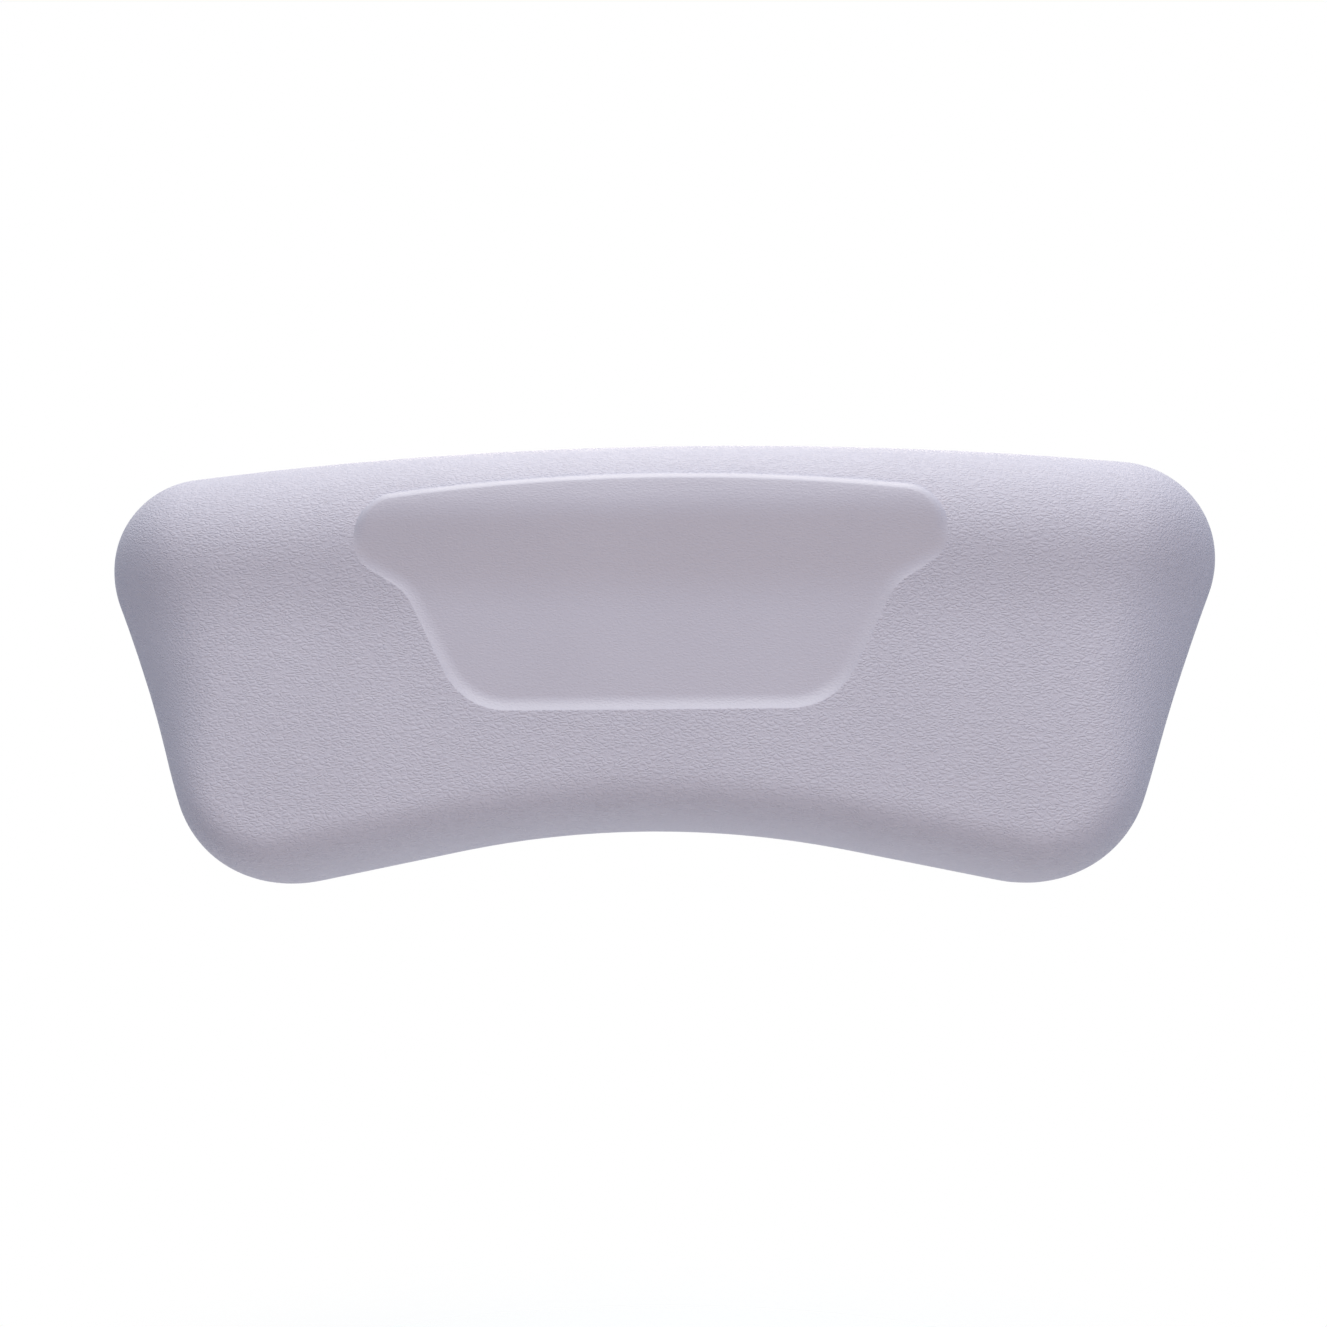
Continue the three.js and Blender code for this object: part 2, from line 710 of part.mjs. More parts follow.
// Plain materials, one for each kind of stuff
const skinStuff = new THREE.MeshStandardMaterial({ color: 0xbab5c1, roughness: 0.55 });
const foamStuff = new THREE.MeshStandardMaterial({ color: 0x8f8c96, roughness: 0.95 });
const plateStuff = new THREE.MeshStandardMaterial({ color: 0x46464b, roughness: 0.6 });
const keeperStuff = new THREE.MeshStandardMaterial({ color: 0x5a5a60, roughness: 0.5 });
const pegStuff = new THREE.MeshStandardMaterial({ color: 0xe6e4dc, roughness: 0.4 });
const ringStuff = new THREE.MeshStandardMaterial({ color: 0x1c1c1e, roughness: 0.8 });
const screwStuff = new THREE.MeshStandardMaterial({ color: 0xb8babd, roughness: 0.3, metalness: 1 });

function named(name, geometry, material) {
  const mesh = new THREE.Mesh(geometry, material);
  mesh.name = name;
  return mesh;
}

const headrest = new THREE.Group();
headrest.add(named('outer_skin', outerSkin(), skinStuff));
headrest.add(named('foam_core', foamCore(), foamStuff));
headrest.add(named('carrier_plate', carrierPlate(), plateStuff));

SIDES.forEach((side) => {
  const hand = side < 0 ? 'left' : 'right';
  const fixing = new THREE.Group();
  fixing.position.x = side * PEG_X;
  fixing.add(named(`peg_${hand}`, peg(), pegStuff));
  fixing.add(named(`keeper_${hand}`, keeper(), keeperStuff));
  const ring = named(`peg_ring_${hand}`, pegRing(), ringStuff);
  ring.position.y = GROOVE_Y;
  fixing.add(ring);
  SIDES.forEach((end) => {
    const screw = named(`keeper_screw_${hand}_${end === side ? 'outer' : 'inner'}`, keeperScrew(), screwStuff);
    screw.position.x = end * SCREW_X;
    fixing.add(screw);
  });
  headrest.add(fixing);
});

export default headrest;
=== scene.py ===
"""Hot tub headrest dressed for rendering: a foam pillow on a carrier plate with two sliding snap pegs."""

import math

import bmesh
import bpy
import numpy as np
from mathutils import Matrix, Vector
from mathutils.geometry import delaunay_2d_cdt


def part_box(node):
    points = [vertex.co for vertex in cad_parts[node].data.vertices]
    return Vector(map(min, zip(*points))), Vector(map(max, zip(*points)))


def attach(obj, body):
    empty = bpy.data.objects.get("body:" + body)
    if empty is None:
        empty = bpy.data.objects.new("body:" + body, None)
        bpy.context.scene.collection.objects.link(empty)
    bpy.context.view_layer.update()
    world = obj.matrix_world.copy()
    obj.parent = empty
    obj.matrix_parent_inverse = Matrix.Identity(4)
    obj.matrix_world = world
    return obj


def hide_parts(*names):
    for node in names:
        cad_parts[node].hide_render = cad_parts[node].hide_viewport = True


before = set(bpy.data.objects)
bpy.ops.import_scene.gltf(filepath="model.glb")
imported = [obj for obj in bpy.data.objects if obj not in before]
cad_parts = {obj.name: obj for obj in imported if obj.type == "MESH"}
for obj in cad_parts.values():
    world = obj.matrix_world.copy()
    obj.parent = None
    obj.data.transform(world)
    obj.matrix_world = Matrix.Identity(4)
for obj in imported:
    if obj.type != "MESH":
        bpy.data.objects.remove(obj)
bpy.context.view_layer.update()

MM = 0.001

# Outline of the pillow in metres: where its straight lines would meet, and the radius at each meeting
CROWN_Z = 0.0620
CROWN_RADIUS = 1.280
SHOULDER_X = 0.1709
SHOULDER_Z = 0.0444
SHOULDER_RADIUS = 0.0285
LOBE_X = 0.1265
LOBE_Z = -0.0762
LOBE_RADIUS = 0.0362
ARCH_Z = -0.0507
ARCH_RADIUS = 0.281

# Outline of the smooth panel in the front, in the same way
PANEL_CROWN_Z = 0.0491
PANEL_CROWN_RADIUS = 0.590
PANEL_WING_X = 0.0809
PANEL_WING_TOP_Z = 0.0395
PANEL_WING_TOP_RADIUS = 0.0118
PANEL_WING_LOW_Z = 0.0222
PANEL_WING_LOW_RADIUS = 0.0084
PANEL_NOTCH_X = 0.0668
PANEL_NOTCH_Z = 0.0132
PANEL_NOTCH_RADIUS = 0.0132
PANEL_FOOT_X = 0.0503
PANEL_FOOT_Z = -0.0197
PANEL_FOOT_RADIUS = 0.0198

# Thickness of the pillow, measured forward from the wall, and the rounding of its edges
GIRTH_DEPTH = 0.015
FRONT_DEPTH = 0.046
FRONT_ROUND = 0.030
LOWER_ROUND = 0.0200
LOWER_ROUND_FROM_Z = -0.010
LOWER_ROUND_TO_Z = -0.045
ROUND_POWER = 2.2
BACK_ROUND = 0.012

# Fall of the front toward both ends
END_FALL = 0.25
END_FROM_X = 0.100
END_TO_X = 0.150

# Hollow in the front at both ends, under the roll along the top
HOLLOW_DEPTH = 0.006
HOLLOW_FROM_X = 0.118
HOLLOW_TO_X = 0.160
HOLLOW_TOP_Z = 0.036
HOLLOW_MIDDLE_Z = 0.003
HOLLOW_BOTTOM_Z = -0.050

# Forward lean of the pillow below its waist, steeper at the wings than in the middle
LEAN_FROM_Z = 0.020
LEAN_TO_Z = -0.004
LEAN_MIDDLE = 0.18
LEAN_WING = 0.21
WING_FROM_X = 0.020
WING_TO_X = 0.110

# Front of the panel: a roll for the head along its top, a fall back to the waist, then a forward lean
ROLL_DEPTH = 0.04635
ROLL_FROM_Z = 0.030
ROLL_TO_Z = 0.041
ROLL_TILT = 0.30
PANEL_FALL = 0.11
PANEL_LEAN_FROM_Z = 0.021
PANEL_LEAN_TO_Z = 0.005
PANEL_LEAN = 0.145

# Edge of the panel: a steep ledge along its top, and a soft hollow round its foot
LEDGE_ROUND = 0.0020
HOLLOW_ROUND = 0.0040
LEDGE_FROM_Z = 0.026
LEDGE_TO_Z = 0.042
LEDGE_POWER = 0.5

# Layers behind the skin: the carrier plate's rim is tucked behind the return of the skin
SKIN = 0.0025
GAP = 0.0003
RIM_SETBACK = 0.002
RIM_LAP = 0.006
RIM_THICK = 0.003
PLATE_INSET = BACK_ROUND + RIM_SETBACK
OPENING_INSET = PLATE_INSET + RIM_LAP
RETURN_ROUND = 0.0008

# Pegs that slide in pockets of the plate, under screwed keepers
PEG_TRAVEL = 0.003
FOOT_CORNER = 0.004
KEEPER_CORNER = 0.007
POCKET_WALL = 0.0025

# Turned part of a peg, with distances into the wall
SHANK_RADIUS = 0.0055
GROOVE_RADIUS = 0.0045
GROOVE_Y = 0.0054
BARB_RADIUS = 0.0067
BARB_Y = 0.011
BARB_RISE = 0.0012
BARB_LAND = 0.001
TIP_RADIUS = 0.004
TIP_CHAMFER = 0.0008
SPLIT_WIDTH = 0.0024
SPLIT_Y = 0.0095

# Rubber ring on each peg: radius of its round section
RING_SECTION = 0.001

# Countersunk keeper screws
SCREW_RADIUS = 0.00145
SCREW_CONE = 0.0015
SCREW_POINT = 0.0008
SCREW_POINT_SHARE = 0.5
RECESS_LONG = 0.003
RECESS_WIDE = 0.0008
RECESS_DEEP = 0.0009
THREAD_PITCH = 0.00125
THREAD_CREST = 0.0002

# Pans in the back of the plate, with ribs left between them
RIB = 0.004
PAN_DEPTH = 0.0032
PAN_CORNER = 0.0035
MIDDLE_BAR = 0.018
MIDDLE_PAN_HEIGHT = 0.022
UPPER_PAN_WIDTH = 0.070
UPPER_PAN_HEIGHT = 0.009
UPPER_PAN_SHIFT = 0.008
LOWER_PAN_WIDTH = 0.058
LOWER_PAN_HEIGHT = 0.015
LOWER_PAN_SHIFT = 0.003
END_PAN_WIDTH = 0.015
END_PAN_HEIGHT = 0.026

# Rounding of moulded plastic edges, of the split in a peg and of the screws
EDGE = 0.0004
SPLIT_EDGE = 0.00025
SCREW_EDGE_ROUND = 0.00012

# Sizes of the fixings that the frame gives
PLATE_LOW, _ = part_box("carrier_plate")
KEEPER_LOW, KEEPER_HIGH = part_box("keeper_right")
PEG_LOW, PEG_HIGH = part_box("peg_right")
SCREW_LOW, SCREW_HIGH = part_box("keeper_screw_right_outer")
KEEPER_WIDTH, _, KEEPER_HEIGHT = KEEPER_HIGH - KEEPER_LOW
FOOT_WIDTH, _, FOOT_HEIGHT = PEG_HIGH - PEG_LOW
PEG_X = (PEG_LOW.x + PEG_HIGH.x) / 2
SCREW_X = (SCREW_LOW.x + SCREW_HIGH.x) / 2 - PEG_X
SCREW_PLACES = (-SCREW_X, SCREW_X)
SCREW_HEAD_RADIUS = (SCREW_HIGH.x - SCREW_LOW.x) / 2

# Levels behind the skin, as y
RIM_BACK = -(SKIN + GAP)
PLATE_FRONT = RIM_BACK - RIM_THICK
BLOCK_FRONT = PLATE_LOW.y
KEEPER_FRONT = KEEPER_LOW.y
FOOT_BACK = KEEPER_FRONT - GAP
FOOT_FRONT = PEG_LOW.y
POCKET_FLOOR = FOOT_FRONT - GAP
PEG_TIP = PEG_HIGH.y
SCREW_FACE = SCREW_HIGH.y
SCREW_TIP = SCREW_LOW.y

# Mesh density of the outlines
ARC_STEP = math.radians(1)
SAMPLE_LENGTH = 0.015
SAMPLE_TURN = math.radians(12)
PAD_POINTS = 210
PANEL_POINTS = 150

# Mesh density of the pillow: distance between the front's points, and steps across each of its roundings
OUTSIDE_MESH = {"spacing": 0.0018, "edge_steps": 10, "lip_steps": 12}
INSIDE_MESH = {"spacing": 0.006, "edge_steps": 5, "lip_steps": 4}
OUTSIDE_BACK_STEPS = 10
INSIDE_BACK_STEPS = 4
FOAM_BACK_STEPS = 6
RETURN_STEPS = 4
LIP_STEP = 0.0003
EDGE_SWEEP = math.radians(36)
GRID_CLEAR = 0.6

# Mesh density of the fixings
CORNER_STEPS = 10
FILLET_STEPS = 4
BEVEL_STEPS = 3
TURNED_SIDES = 72
PRONG_STEPS = 28
SPLIT_STEPS = 6
TUBE_SIDES = 24
THREAD_ROWS = 48
SHARP = math.radians(50)

# Mesh making: points closer than the weld are joined, and flat plans are cut into triangles in millimetres
WELD = 2e-6
PLAN_TOLERANCE = 1e-6
INSIDE_ONLY = 1
LEAST_SQUARE = 1e-18
CHUNK = 1000

# Grain of the skin, measured in pebbles of the grain
PEBBLE_STRETCH = 2
WANDER_SIZE = 2
WANDER_REACH = 1.4
CREASE_WIDTH = 0.32
GRIT_PER_PEBBLE = 2.2
GRIT_SHARE = 0.6

# Sizes of the other patterns in the materials
PATCH_SIZE = 40 * MM
FOAM_CELL = MM / 0.9
FOAM_PIT_DEPTH = 0.4 * MM
FLOW_MARK = MM / 0.06
BLOOM_SIZE = MM / 0.7
BLOOM_RELIEF = 0.02 * MM
SCUFF_SIZE = MM / 1.8
SCUFF_RELIEF = 0.008 * MM

# Width of a foam pit as a share of its cell, and how far the roughness of moulded plastic varies either way
FOAM_PIT_WIDTH = 0.6
GLOSS_SPREAD = 0.06

# Camera, read from the photograph's perspective
CAMERA_AIM = (0, -0.015, -0.0077)
CAMERA_AZIMUTH = math.radians(2.41)
CAMERA_ELEVATION = math.radians(0.68)
CAMERA_DISTANCE = 0.4471
CAMERA_PAN = math.radians(1.5)
CAMERA_ROLL = math.radians(-0.68)
CAMERA_SHIFT = 0.0380
CAMERA_LENS = 41.45
CAMERA_SENSOR = 36
CAMERA_NEAR = 0.01

# Studio
LAMP_AIM = (0, 0, 0)
FRONT_MIDDLE = (0, -0.03, 0)
AMBIENT_COLOUR = (0.55, 0.73, 1, 1)
AMBIENT_STRENGTH = 0.46
WHITE = (1, 1, 1, 1)
FLOOR_COLOUR = (0.9, 0.9, 0.9, 1)
FLOOR_Z = -0.42
FLOOR_RADIUS = 0.60
FLOOR_FADE_FROM = 0.5
FLOOR_SIDES = 96

# Corners of both outlines, from the middle of the top down the right side
PAD_CORNERS = [
    (0, CROWN_Z, CROWN_RADIUS),
    (SHOULDER_X, SHOULDER_Z, SHOULDER_RADIUS),
    (LOBE_X, LOBE_Z, LOBE_RADIUS),
    (0, ARCH_Z, ARCH_RADIUS),
]
PANEL_CORNERS = [
    (0, PANEL_CROWN_Z, PANEL_CROWN_RADIUS),
    (PANEL_WING_X, PANEL_WING_TOP_Z, PANEL_WING_TOP_RADIUS),
    (PANEL_WING_X, PANEL_WING_LOW_Z, PANEL_WING_LOW_RADIUS),
    (PANEL_NOTCH_X, PANEL_NOTCH_Z, PANEL_NOTCH_RADIUS),
    (PANEL_FOOT_X, PANEL_FOOT_Z, PANEL_FOOT_RADIUS),
    (0, PANEL_FOOT_Z, 0),
]


def smoothstep(value, low, high):
    """A soft step from 0 at low to 1 at high."""
    share = np.clip((value - low) / (high - low), 0, 1)
    return share * share * (3 - 2 * share)


def lerp(a, b, share):
    """The value a given share of the way from a to b."""
    return a + (b - a) * share


def unit(vectors):
    """Vectors brought to a length of 1."""
    return vectors / np.linalg.norm(vectors, axis=-1, keepdims=True)


def rounded_half(corners):
    """Points and inward normals down the right half of a rounded outline."""
    points, normals = [], []
    last = len(corners) - 1
    for i, (x, z, radius) in enumerate(corners):
        before_x, before_z = corners[i - 1][:2] if i > 0 else (-corners[1][0], corners[1][1])
        after_x, after_z = corners[i + 1][:2] if i < last else (-corners[last - 1][0], corners[last - 1][1])
        heading = math.atan2(z - before_z, x - before_x)
        turn = math.remainder(math.atan2(after_z - z, after_x - x) - heading, math.tau)
        side = -1 if turn > 0 else 1
        tangent = radius * math.tan(abs(turn) / 2)
        centre_x = x - math.cos(heading) * tangent + side * radius * math.sin(heading)
        centre_z = z - math.sin(heading) * tangent - side * radius * math.cos(heading)
        start = turn / 2 if i == 0 else 0
        end = turn / 2 if i == last else turn
        steps = math.ceil(abs(end - start) / ARC_STEP)
        for angle in heading + np.linspace(start, end, steps + 1):
            normal = np.array((math.sin(angle), -math.cos(angle)))
            points.append(np.array((centre_x, centre_z)) - side * radius * normal)
            normals.append(normal)
    return np.array(points), np.array(normals)


def spread(points, normals, count):
    """Points along a chain, closer together where it turns."""
    length = np.linalg.norm(np.diff(points, axis=0), axis=1)
    turn = np.arccos(np.clip((normals[1:] * normals[:-1]).sum(1), -1, 1))
    reach = np.concatenate(([0], np.cumsum(length / SAMPLE_LENGTH + turn / SAMPLE_TURN)))
    want = np.linspace(0, reach[-1], count + 1)
    columns = np.column_stack((points, normals))
    chosen = np.column_stack([np.interp(want, reach, column) for column in columns.T])
    return chosen[:, :2], chosen[:, 2:]


def mirrored(points, normals):
    """A right half, top to bottom, followed by its mirror image back to the top."""
    flip = np.array((-1, 1))
    return (
        np.concatenate((points, points[-2:0:-1] * flip)),
        np.concatenate((normals, normals[-2:0:-1] * flip)),
    )


def outline_ring(corners, half_count):
    """Points and inward normals round a closed outline, clockwise from the top, and its fine chain."""
    points, normals = rounded_half(corners)
    ring, ring_normals = mirrored(*spread(points, normals, half_count))
    return ring, unit(ring_normals), mirrored(points, normals)[0]


PAD_RING, PAD_NORMAL, PAD_CHAIN = outline_ring(PAD_CORNERS, PAD_POINTS)
PANEL_RING, PANEL_NORMAL, PANEL_CHAIN = outline_ring(PANEL_CORNERS, PANEL_POINTS)


def distance_inside(points, chain):
    """How far each point lies inside a clockwise closed chain, negative outside it."""
    step = np.roll(chain, -1, axis=0) - chain
    span = np.maximum((step * step).sum(1), LEAST_SQUARE)
    result = np.empty(len(points))
    for first in range(0, len(points), CHUNK):
        offset = points[first : first + CHUNK, None, :] - chain
        share = np.clip((offset * step).sum(2) / span, 0, 1)
        apart = offset - share[:, :, None] * step
        square = (apart * apart).sum(2)
        nearest = square.argmin(1)
        row = np.arange(len(nearest))
        away = apart[row, nearest]
        side = step[nearest, 1] * away[:, 0] - step[nearest, 0] * away[:, 1]
        result[first : first + CHUNK] = np.sqrt(square[row, nearest]) * np.sign(side)
    return result


def ramp(value, low, high):
    """Climb from 0, with a slope that grows smoothly from 0 at low to 1 at high."""
    share = np.clip((value - low) / (high - low), 0, 1)
    return (high - low) * (share**3 - share**4 / 2) + np.maximum(0, value - high)


def soft_round(share):
    """Height of a soft quarter round, from 0 at its foot to 1 where it runs level."""
    rest = 1 - np.clip(share, 0, 1)
    return np.sqrt(1 - rest**ROUND_POWER)


def end_hollow(x, z):
    """Depth of the hollows at both ends of the front."""
    below = smoothstep(z, HOLLOW_BOTTOM_Z, HOLLOW_MIDDLE_Z)
    above = 1 - smoothstep(z, HOLLOW_MIDDLE_Z, HOLLOW_TOP_Z)
    return HOLLOW_DEPTH * smoothstep(np.abs(x), HOLLOW_FROM_X, HOLLOW_TO_X) * below * above


def pad_depth(points, layer):
    """Depth of the pillow's front in metres from the wall, or of a layer a given distance inside it."""
    x, z = points.T
    lean = lerp(LEAN_MIDDLE, LEAN_WING, smoothstep(np.abs(x), WING_FROM_X, WING_TO_X))
    fall = END_FALL * ramp(np.abs(x), END_FROM_X, END_TO_X) + end_hollow(x, z)
    open_front = FRONT_DEPTH - fall + lean * ramp(-z, -LEAN_FROM_Z, -LEAN_TO_Z)
    edge = lerp(LOWER_ROUND, FRONT_ROUND, smoothstep(z, LOWER_ROUND_TO_Z, LOWER_ROUND_FROM_Z))
    share = (distance_inside(points, PAD_CHAIN) - layer) / (edge - layer)
    return lerp(GIRTH_DEPTH, open_front - layer, soft_round(share))


def panel_depth(z):
    """Depth of the panel's open face."""
    roll = (PANEL_FALL + ROLL_TILT) * ramp(z, ROLL_FROM_Z, ROLL_TO_Z)
    lean = (PANEL_FALL + PANEL_LEAN) * ramp(-z, -PANEL_LEAN_FROM_Z, -PANEL_LEAN_TO_Z)
    return ROLL_DEPTH + PANEL_FALL * (z - ROLL_FROM_Z) - roll + lean


def ledge_share(z):
    """How far the panel's edge is a ledge: 1 along its top, 0 round its foot."""
    return smoothstep(z, LEDGE_FROM_Z, LEDGE_TO_Z)


def panel_edge(z):
    """Width of the rounded edge inside the panel's border."""
    return lerp(HOLLOW_ROUND, LEDGE_ROUND, ledge_share(z))


def front_depth(points, layer):
    """Depth of the whole front with the panel in it, or of a layer a given distance inside it."""
    z = points[:, 1]
    ledge = ledge_share(z)
    inside = distance_inside(points, PANEL_CHAIN) - layer * ledge
    rest = 1 - np.clip(inside / panel_edge(z), 0, 1)
    rise = (1 - rest * rest) ** lerp(1, LEDGE_POWER, ledge)
    return lerp(pad_depth(points, layer), panel_depth(z) - layer, rise)


def flat_row(points, y):
    """Points of a plan, stood up at a level y."""
    return np.column_stack((points[:, 0], np.full(len(points), y), points[:, 1]))


def pad_row(inset, y):
    """The pillow's outline, drawn in by an inset, at a level y."""
    return flat_row(PAD_RING + PAD_NORMAL * inset, y)


def round_inset(layer, radius, angle):
    """How far a rounded edge has turned inward at an angle, for a layer inside it."""
    return layer + (radius - layer) * (1 - math.cos(angle))


def filled_plan(plan, loops):
    """A plan cut into triangles inside the closed loops that come first in it: its points and its faces."""
    edges, first = [], 0
    for loop in loops:
        count = len(loop)
        edges += [(first + i, first + (i + 1) % count) for i in range(count)]
        first += count
    points = [Vector(point / MM) for point in plan]
    _, _, faces, sources, _, _ = delaunay_2d_cdt(points, edges, [], INSIDE_ONLY, PLAN_TOLERANCE)
    return plan[[source[0] for source in sources]], [tuple(face) for face in faces]


def front_mesh(layer, spacing, edge_steps, lip_steps):
    """The front of a layer as vertices, three-sided faces, and whether each face belongs to the panel."""
    loops = []
    for angle in np.linspace(0, EDGE_SWEEP, edge_steps + 1):
        loops.append(PAD_RING + PAD_NORMAL * round_inset(layer, FRONT_ROUND, angle))
    rim = round_inset(layer, FRONT_ROUND, EDGE_SWEEP)
    border = PANEL_RING + PANEL_NORMAL * (layer * ledge_share(PANEL_RING[:, 1]))[:, None]
    loops.append(border - PANEL_NORMAL * LIP_STEP)
    lip_width = panel_edge(PANEL_RING[:, 1])[:, None]
    for angle in np.linspace(0, math.pi / 2, lip_steps + 1):
        loops.append(border + PANEL_NORMAL * lip_width * (1 - math.cos(angle)))
    low, high = PAD_RING.min(0), PAD_RING.max(0)
    row_height = spacing * math.sqrt(3) / 2
    grid_x, grid_z = np.meshgrid(np.arange(low[0], high[0], spacing), np.arange(low[1], high[1], row_height))
    grid_x[1::2] += spacing / 2
    grid = np.column_stack((grid_x.ravel(), grid_z.ravel()))
    clear = GRID_CLEAR * spacing
    grid = grid[distance_inside(grid, PAD_CHAIN) > rim + clear]
    inside = distance_inside(grid, PANEL_CHAIN) - layer * ledge_share(grid[:, 1])
    grid = grid[(inside < -LIP_STEP - clear) | (inside > panel_edge(grid[:, 1]) + clear)]
    plan, faces = filled_plan(np.concatenate(loops + [grid]), loops)
    depth = front_depth(plan, layer)
    middles = plan[np.array(faces)].mean(1)
    in_panel = distance_inside(middles, PANEL_CHAIN) > 0
    return np.column_stack((plan[:, 0], -depth, plan[:, 1])), faces, in_panel


def back_rows(layer, steps):
    """Rows from the girth round to the flat back."""
    rows = []
    for step in range(1, steps + 1):
        angle = step / steps * math.pi / 2
        level = -lerp(GIRTH_DEPTH, layer, math.sin(angle))
        rows.append(pad_row(round_inset(layer, BACK_ROUND, angle), level))
    return rows


def ring_faces(rows):
    """Vertices and four-sided faces of rings joined in order."""
    count = len(rows[0])
    faces = []
    for row in range(len(rows) - 1):
        near, far = row * count, (row + 1) * count
        faces += [(near + i, near + (i + 1) % count, far + (i + 1) % count, far + i) for i in range(count)]
    return np.concatenate(rows), faces


def gathered(parts, x=0.0):
    """Vertices and faces of several parts in one, moved along X."""
    vertices, faces, first = [], [], 0
    for part_vertices, part_faces in parts:
        vertices.append(part_vertices)
        faces += [tuple(i + first for i in face) for face in part_faces]
        first += len(part_vertices)
    return np.concatenate(vertices) + np.array((x, 0, 0)), faces


def make_piece(name, vertices, faces, materials, face_material=None, bevel=0.0):
    """A smooth-shaded object: doubled points welded, faces turned outward and sharp edges rounded."""
    mesh = bpy.data.meshes.new(name)
    mesh.from_pydata([tuple(v) for v in vertices], [], faces)
    for material in materials:
        mesh.materials.append(material)
    if face_material is not None:
        mesh.polygons.foreach_set("material_index", face_material)
    shape = bmesh.new()
    shape.from_mesh(mesh)
    bmesh.ops.remove_doubles(shape, verts=shape.verts, dist=WELD)
    bmesh.ops.recalc_face_normals(shape, faces=shape.faces)
    if bevel:
        sharp = [edge for edge in shape.edges if edge.calc_face_angle(0.0) > SHARP]
        bmesh.ops.bevel(
            shape, geom=sharp, offset=bevel, segments=BEVEL_STEPS, profile=0.5, affect="EDGES",
            clamp_overlap=True,
        )
    shape.to_mesh(mesh)
    shape.free()
    mesh.polygons.foreach_set("use_smooth", [True] * len(mesh.polygons))
    piece = bpy.data.objects.new(name, mesh)
    bpy.context.scene.collection.objects.link(piece)
    return piece


def linear_colour(code):
    """Linear red, green, blue and alpha of an sRGB hex value."""
    shades = [int(code[i : i + 2], 16) / 255 for i in (1, 3, 5)]
    return [s / 12.92 if s <= 0.04045 else ((s + 0.055) / 1.055) ** 2.4 for s in shades] + [1.0]


def add_node(tree, kind, inputs=None, **settings):
    """One shader node; an input is a plain value or the output that feeds it."""
    node = tree.nodes.new(kind)
    for name, value in settings.items():
        setattr(node, name, value)
    for name, value in (inputs or {}).items():
        if isinstance(value, bpy.types.NodeSocket):
            tree.links.new(value, node.inputs[name])
        else:
            node.inputs[name].default_value = value
    return node


def new_material(name):
    """A material and its node tree, still empty."""
    material = bpy.data.materials.new(name)
    material.use_nodes = True
    material.node_tree.nodes.clear()
    return material, material.node_tree


def self_skinned_polyurethane(name, colour, shade, pebble, relief, roughness, specular):
    """Self-skinned polyurethane out of a grained mould: satin, with short shallow wrinkles lying across."""
    material, tree = new_material(name)
    place = add_node(tree, "ShaderNodeTexCoord").outputs["Object"]
    stretched = add_node(
        tree, "ShaderNodeMapping", {"Vector": place, "Scale": (1 / PEBBLE_STRETCH, 1.0, 1.0)},
    )
    wander = add_node(
        tree, "ShaderNodeTexNoise",
        {"Vector": stretched.outputs["Vector"], "Scale": 1 / (WANDER_SIZE * pebble), "Detail": 2.0},
    )
    centred = add_node(
        tree, "ShaderNodeVectorMath",
        {0: wander.outputs["Color"], 1: (0.5, 0.5, 0.5)}, operation="SUBTRACT",
    )
    scaled = add_node(
        tree, "ShaderNodeVectorMath",
        {0: centred.outputs["Vector"], "Scale": WANDER_REACH * pebble}, operation="SCALE",
    )
    moved = add_node(
        tree, "ShaderNodeVectorMath", {0: stretched.outputs["Vector"], 1: scaled.outputs["Vector"]},
    )
    pebbles = add_node(
        tree, "ShaderNodeTexVoronoi", {"Vector": moved.outputs["Vector"], "Scale": 1 / pebble},
        feature="DISTANCE_TO_EDGE",
    )
    crease = add_node(
        tree, "ShaderNodeMapRange", {"Value": pebbles.outputs["Distance"], "From Max": CREASE_WIDTH},
        interpolation_type="SMOOTHSTEP",
    )
    grit = add_node(
        tree, "ShaderNodeTexNoise", {"Vector": place, "Scale": GRIT_PER_PEBBLE / pebble, "Detail": 3.0},
    )
    height = add_node(
        tree, "ShaderNodeMath",
        {0: grit.outputs["Fac"], 1: GRIT_SHARE, 2: crease.outputs["Result"]}, operation="MULTIPLY_ADD",
    )
    bump = add_node(
        tree, "ShaderNodeBump", {"Height": height.outputs["Value"], "Distance": relief, "Strength": 1.0},
    )
    patches = add_node(tree, "ShaderNodeTexNoise", {"Vector": place, "Scale": 1 / PATCH_SIZE, "Detail": 3.0})
    tint = add_node(
        tree, "ShaderNodeMix",
        {"Factor": patches.outputs["Fac"], "A": linear_colour(colour), "B": linear_colour(shade)},
        data_type="RGBA",
    )
    shader = add_node(
        tree, "ShaderNodeBsdfPrincipled",
        {
            "Base Color": tint.outputs[2], "Roughness": roughness, "IOR": 1.5,
            "Specular IOR Level": specular, "Normal": bump.outputs["Normal"],
        },
    )
    add_node(tree, "ShaderNodeOutputMaterial", {"Surface": shader.outputs["BSDF"]})
    return material


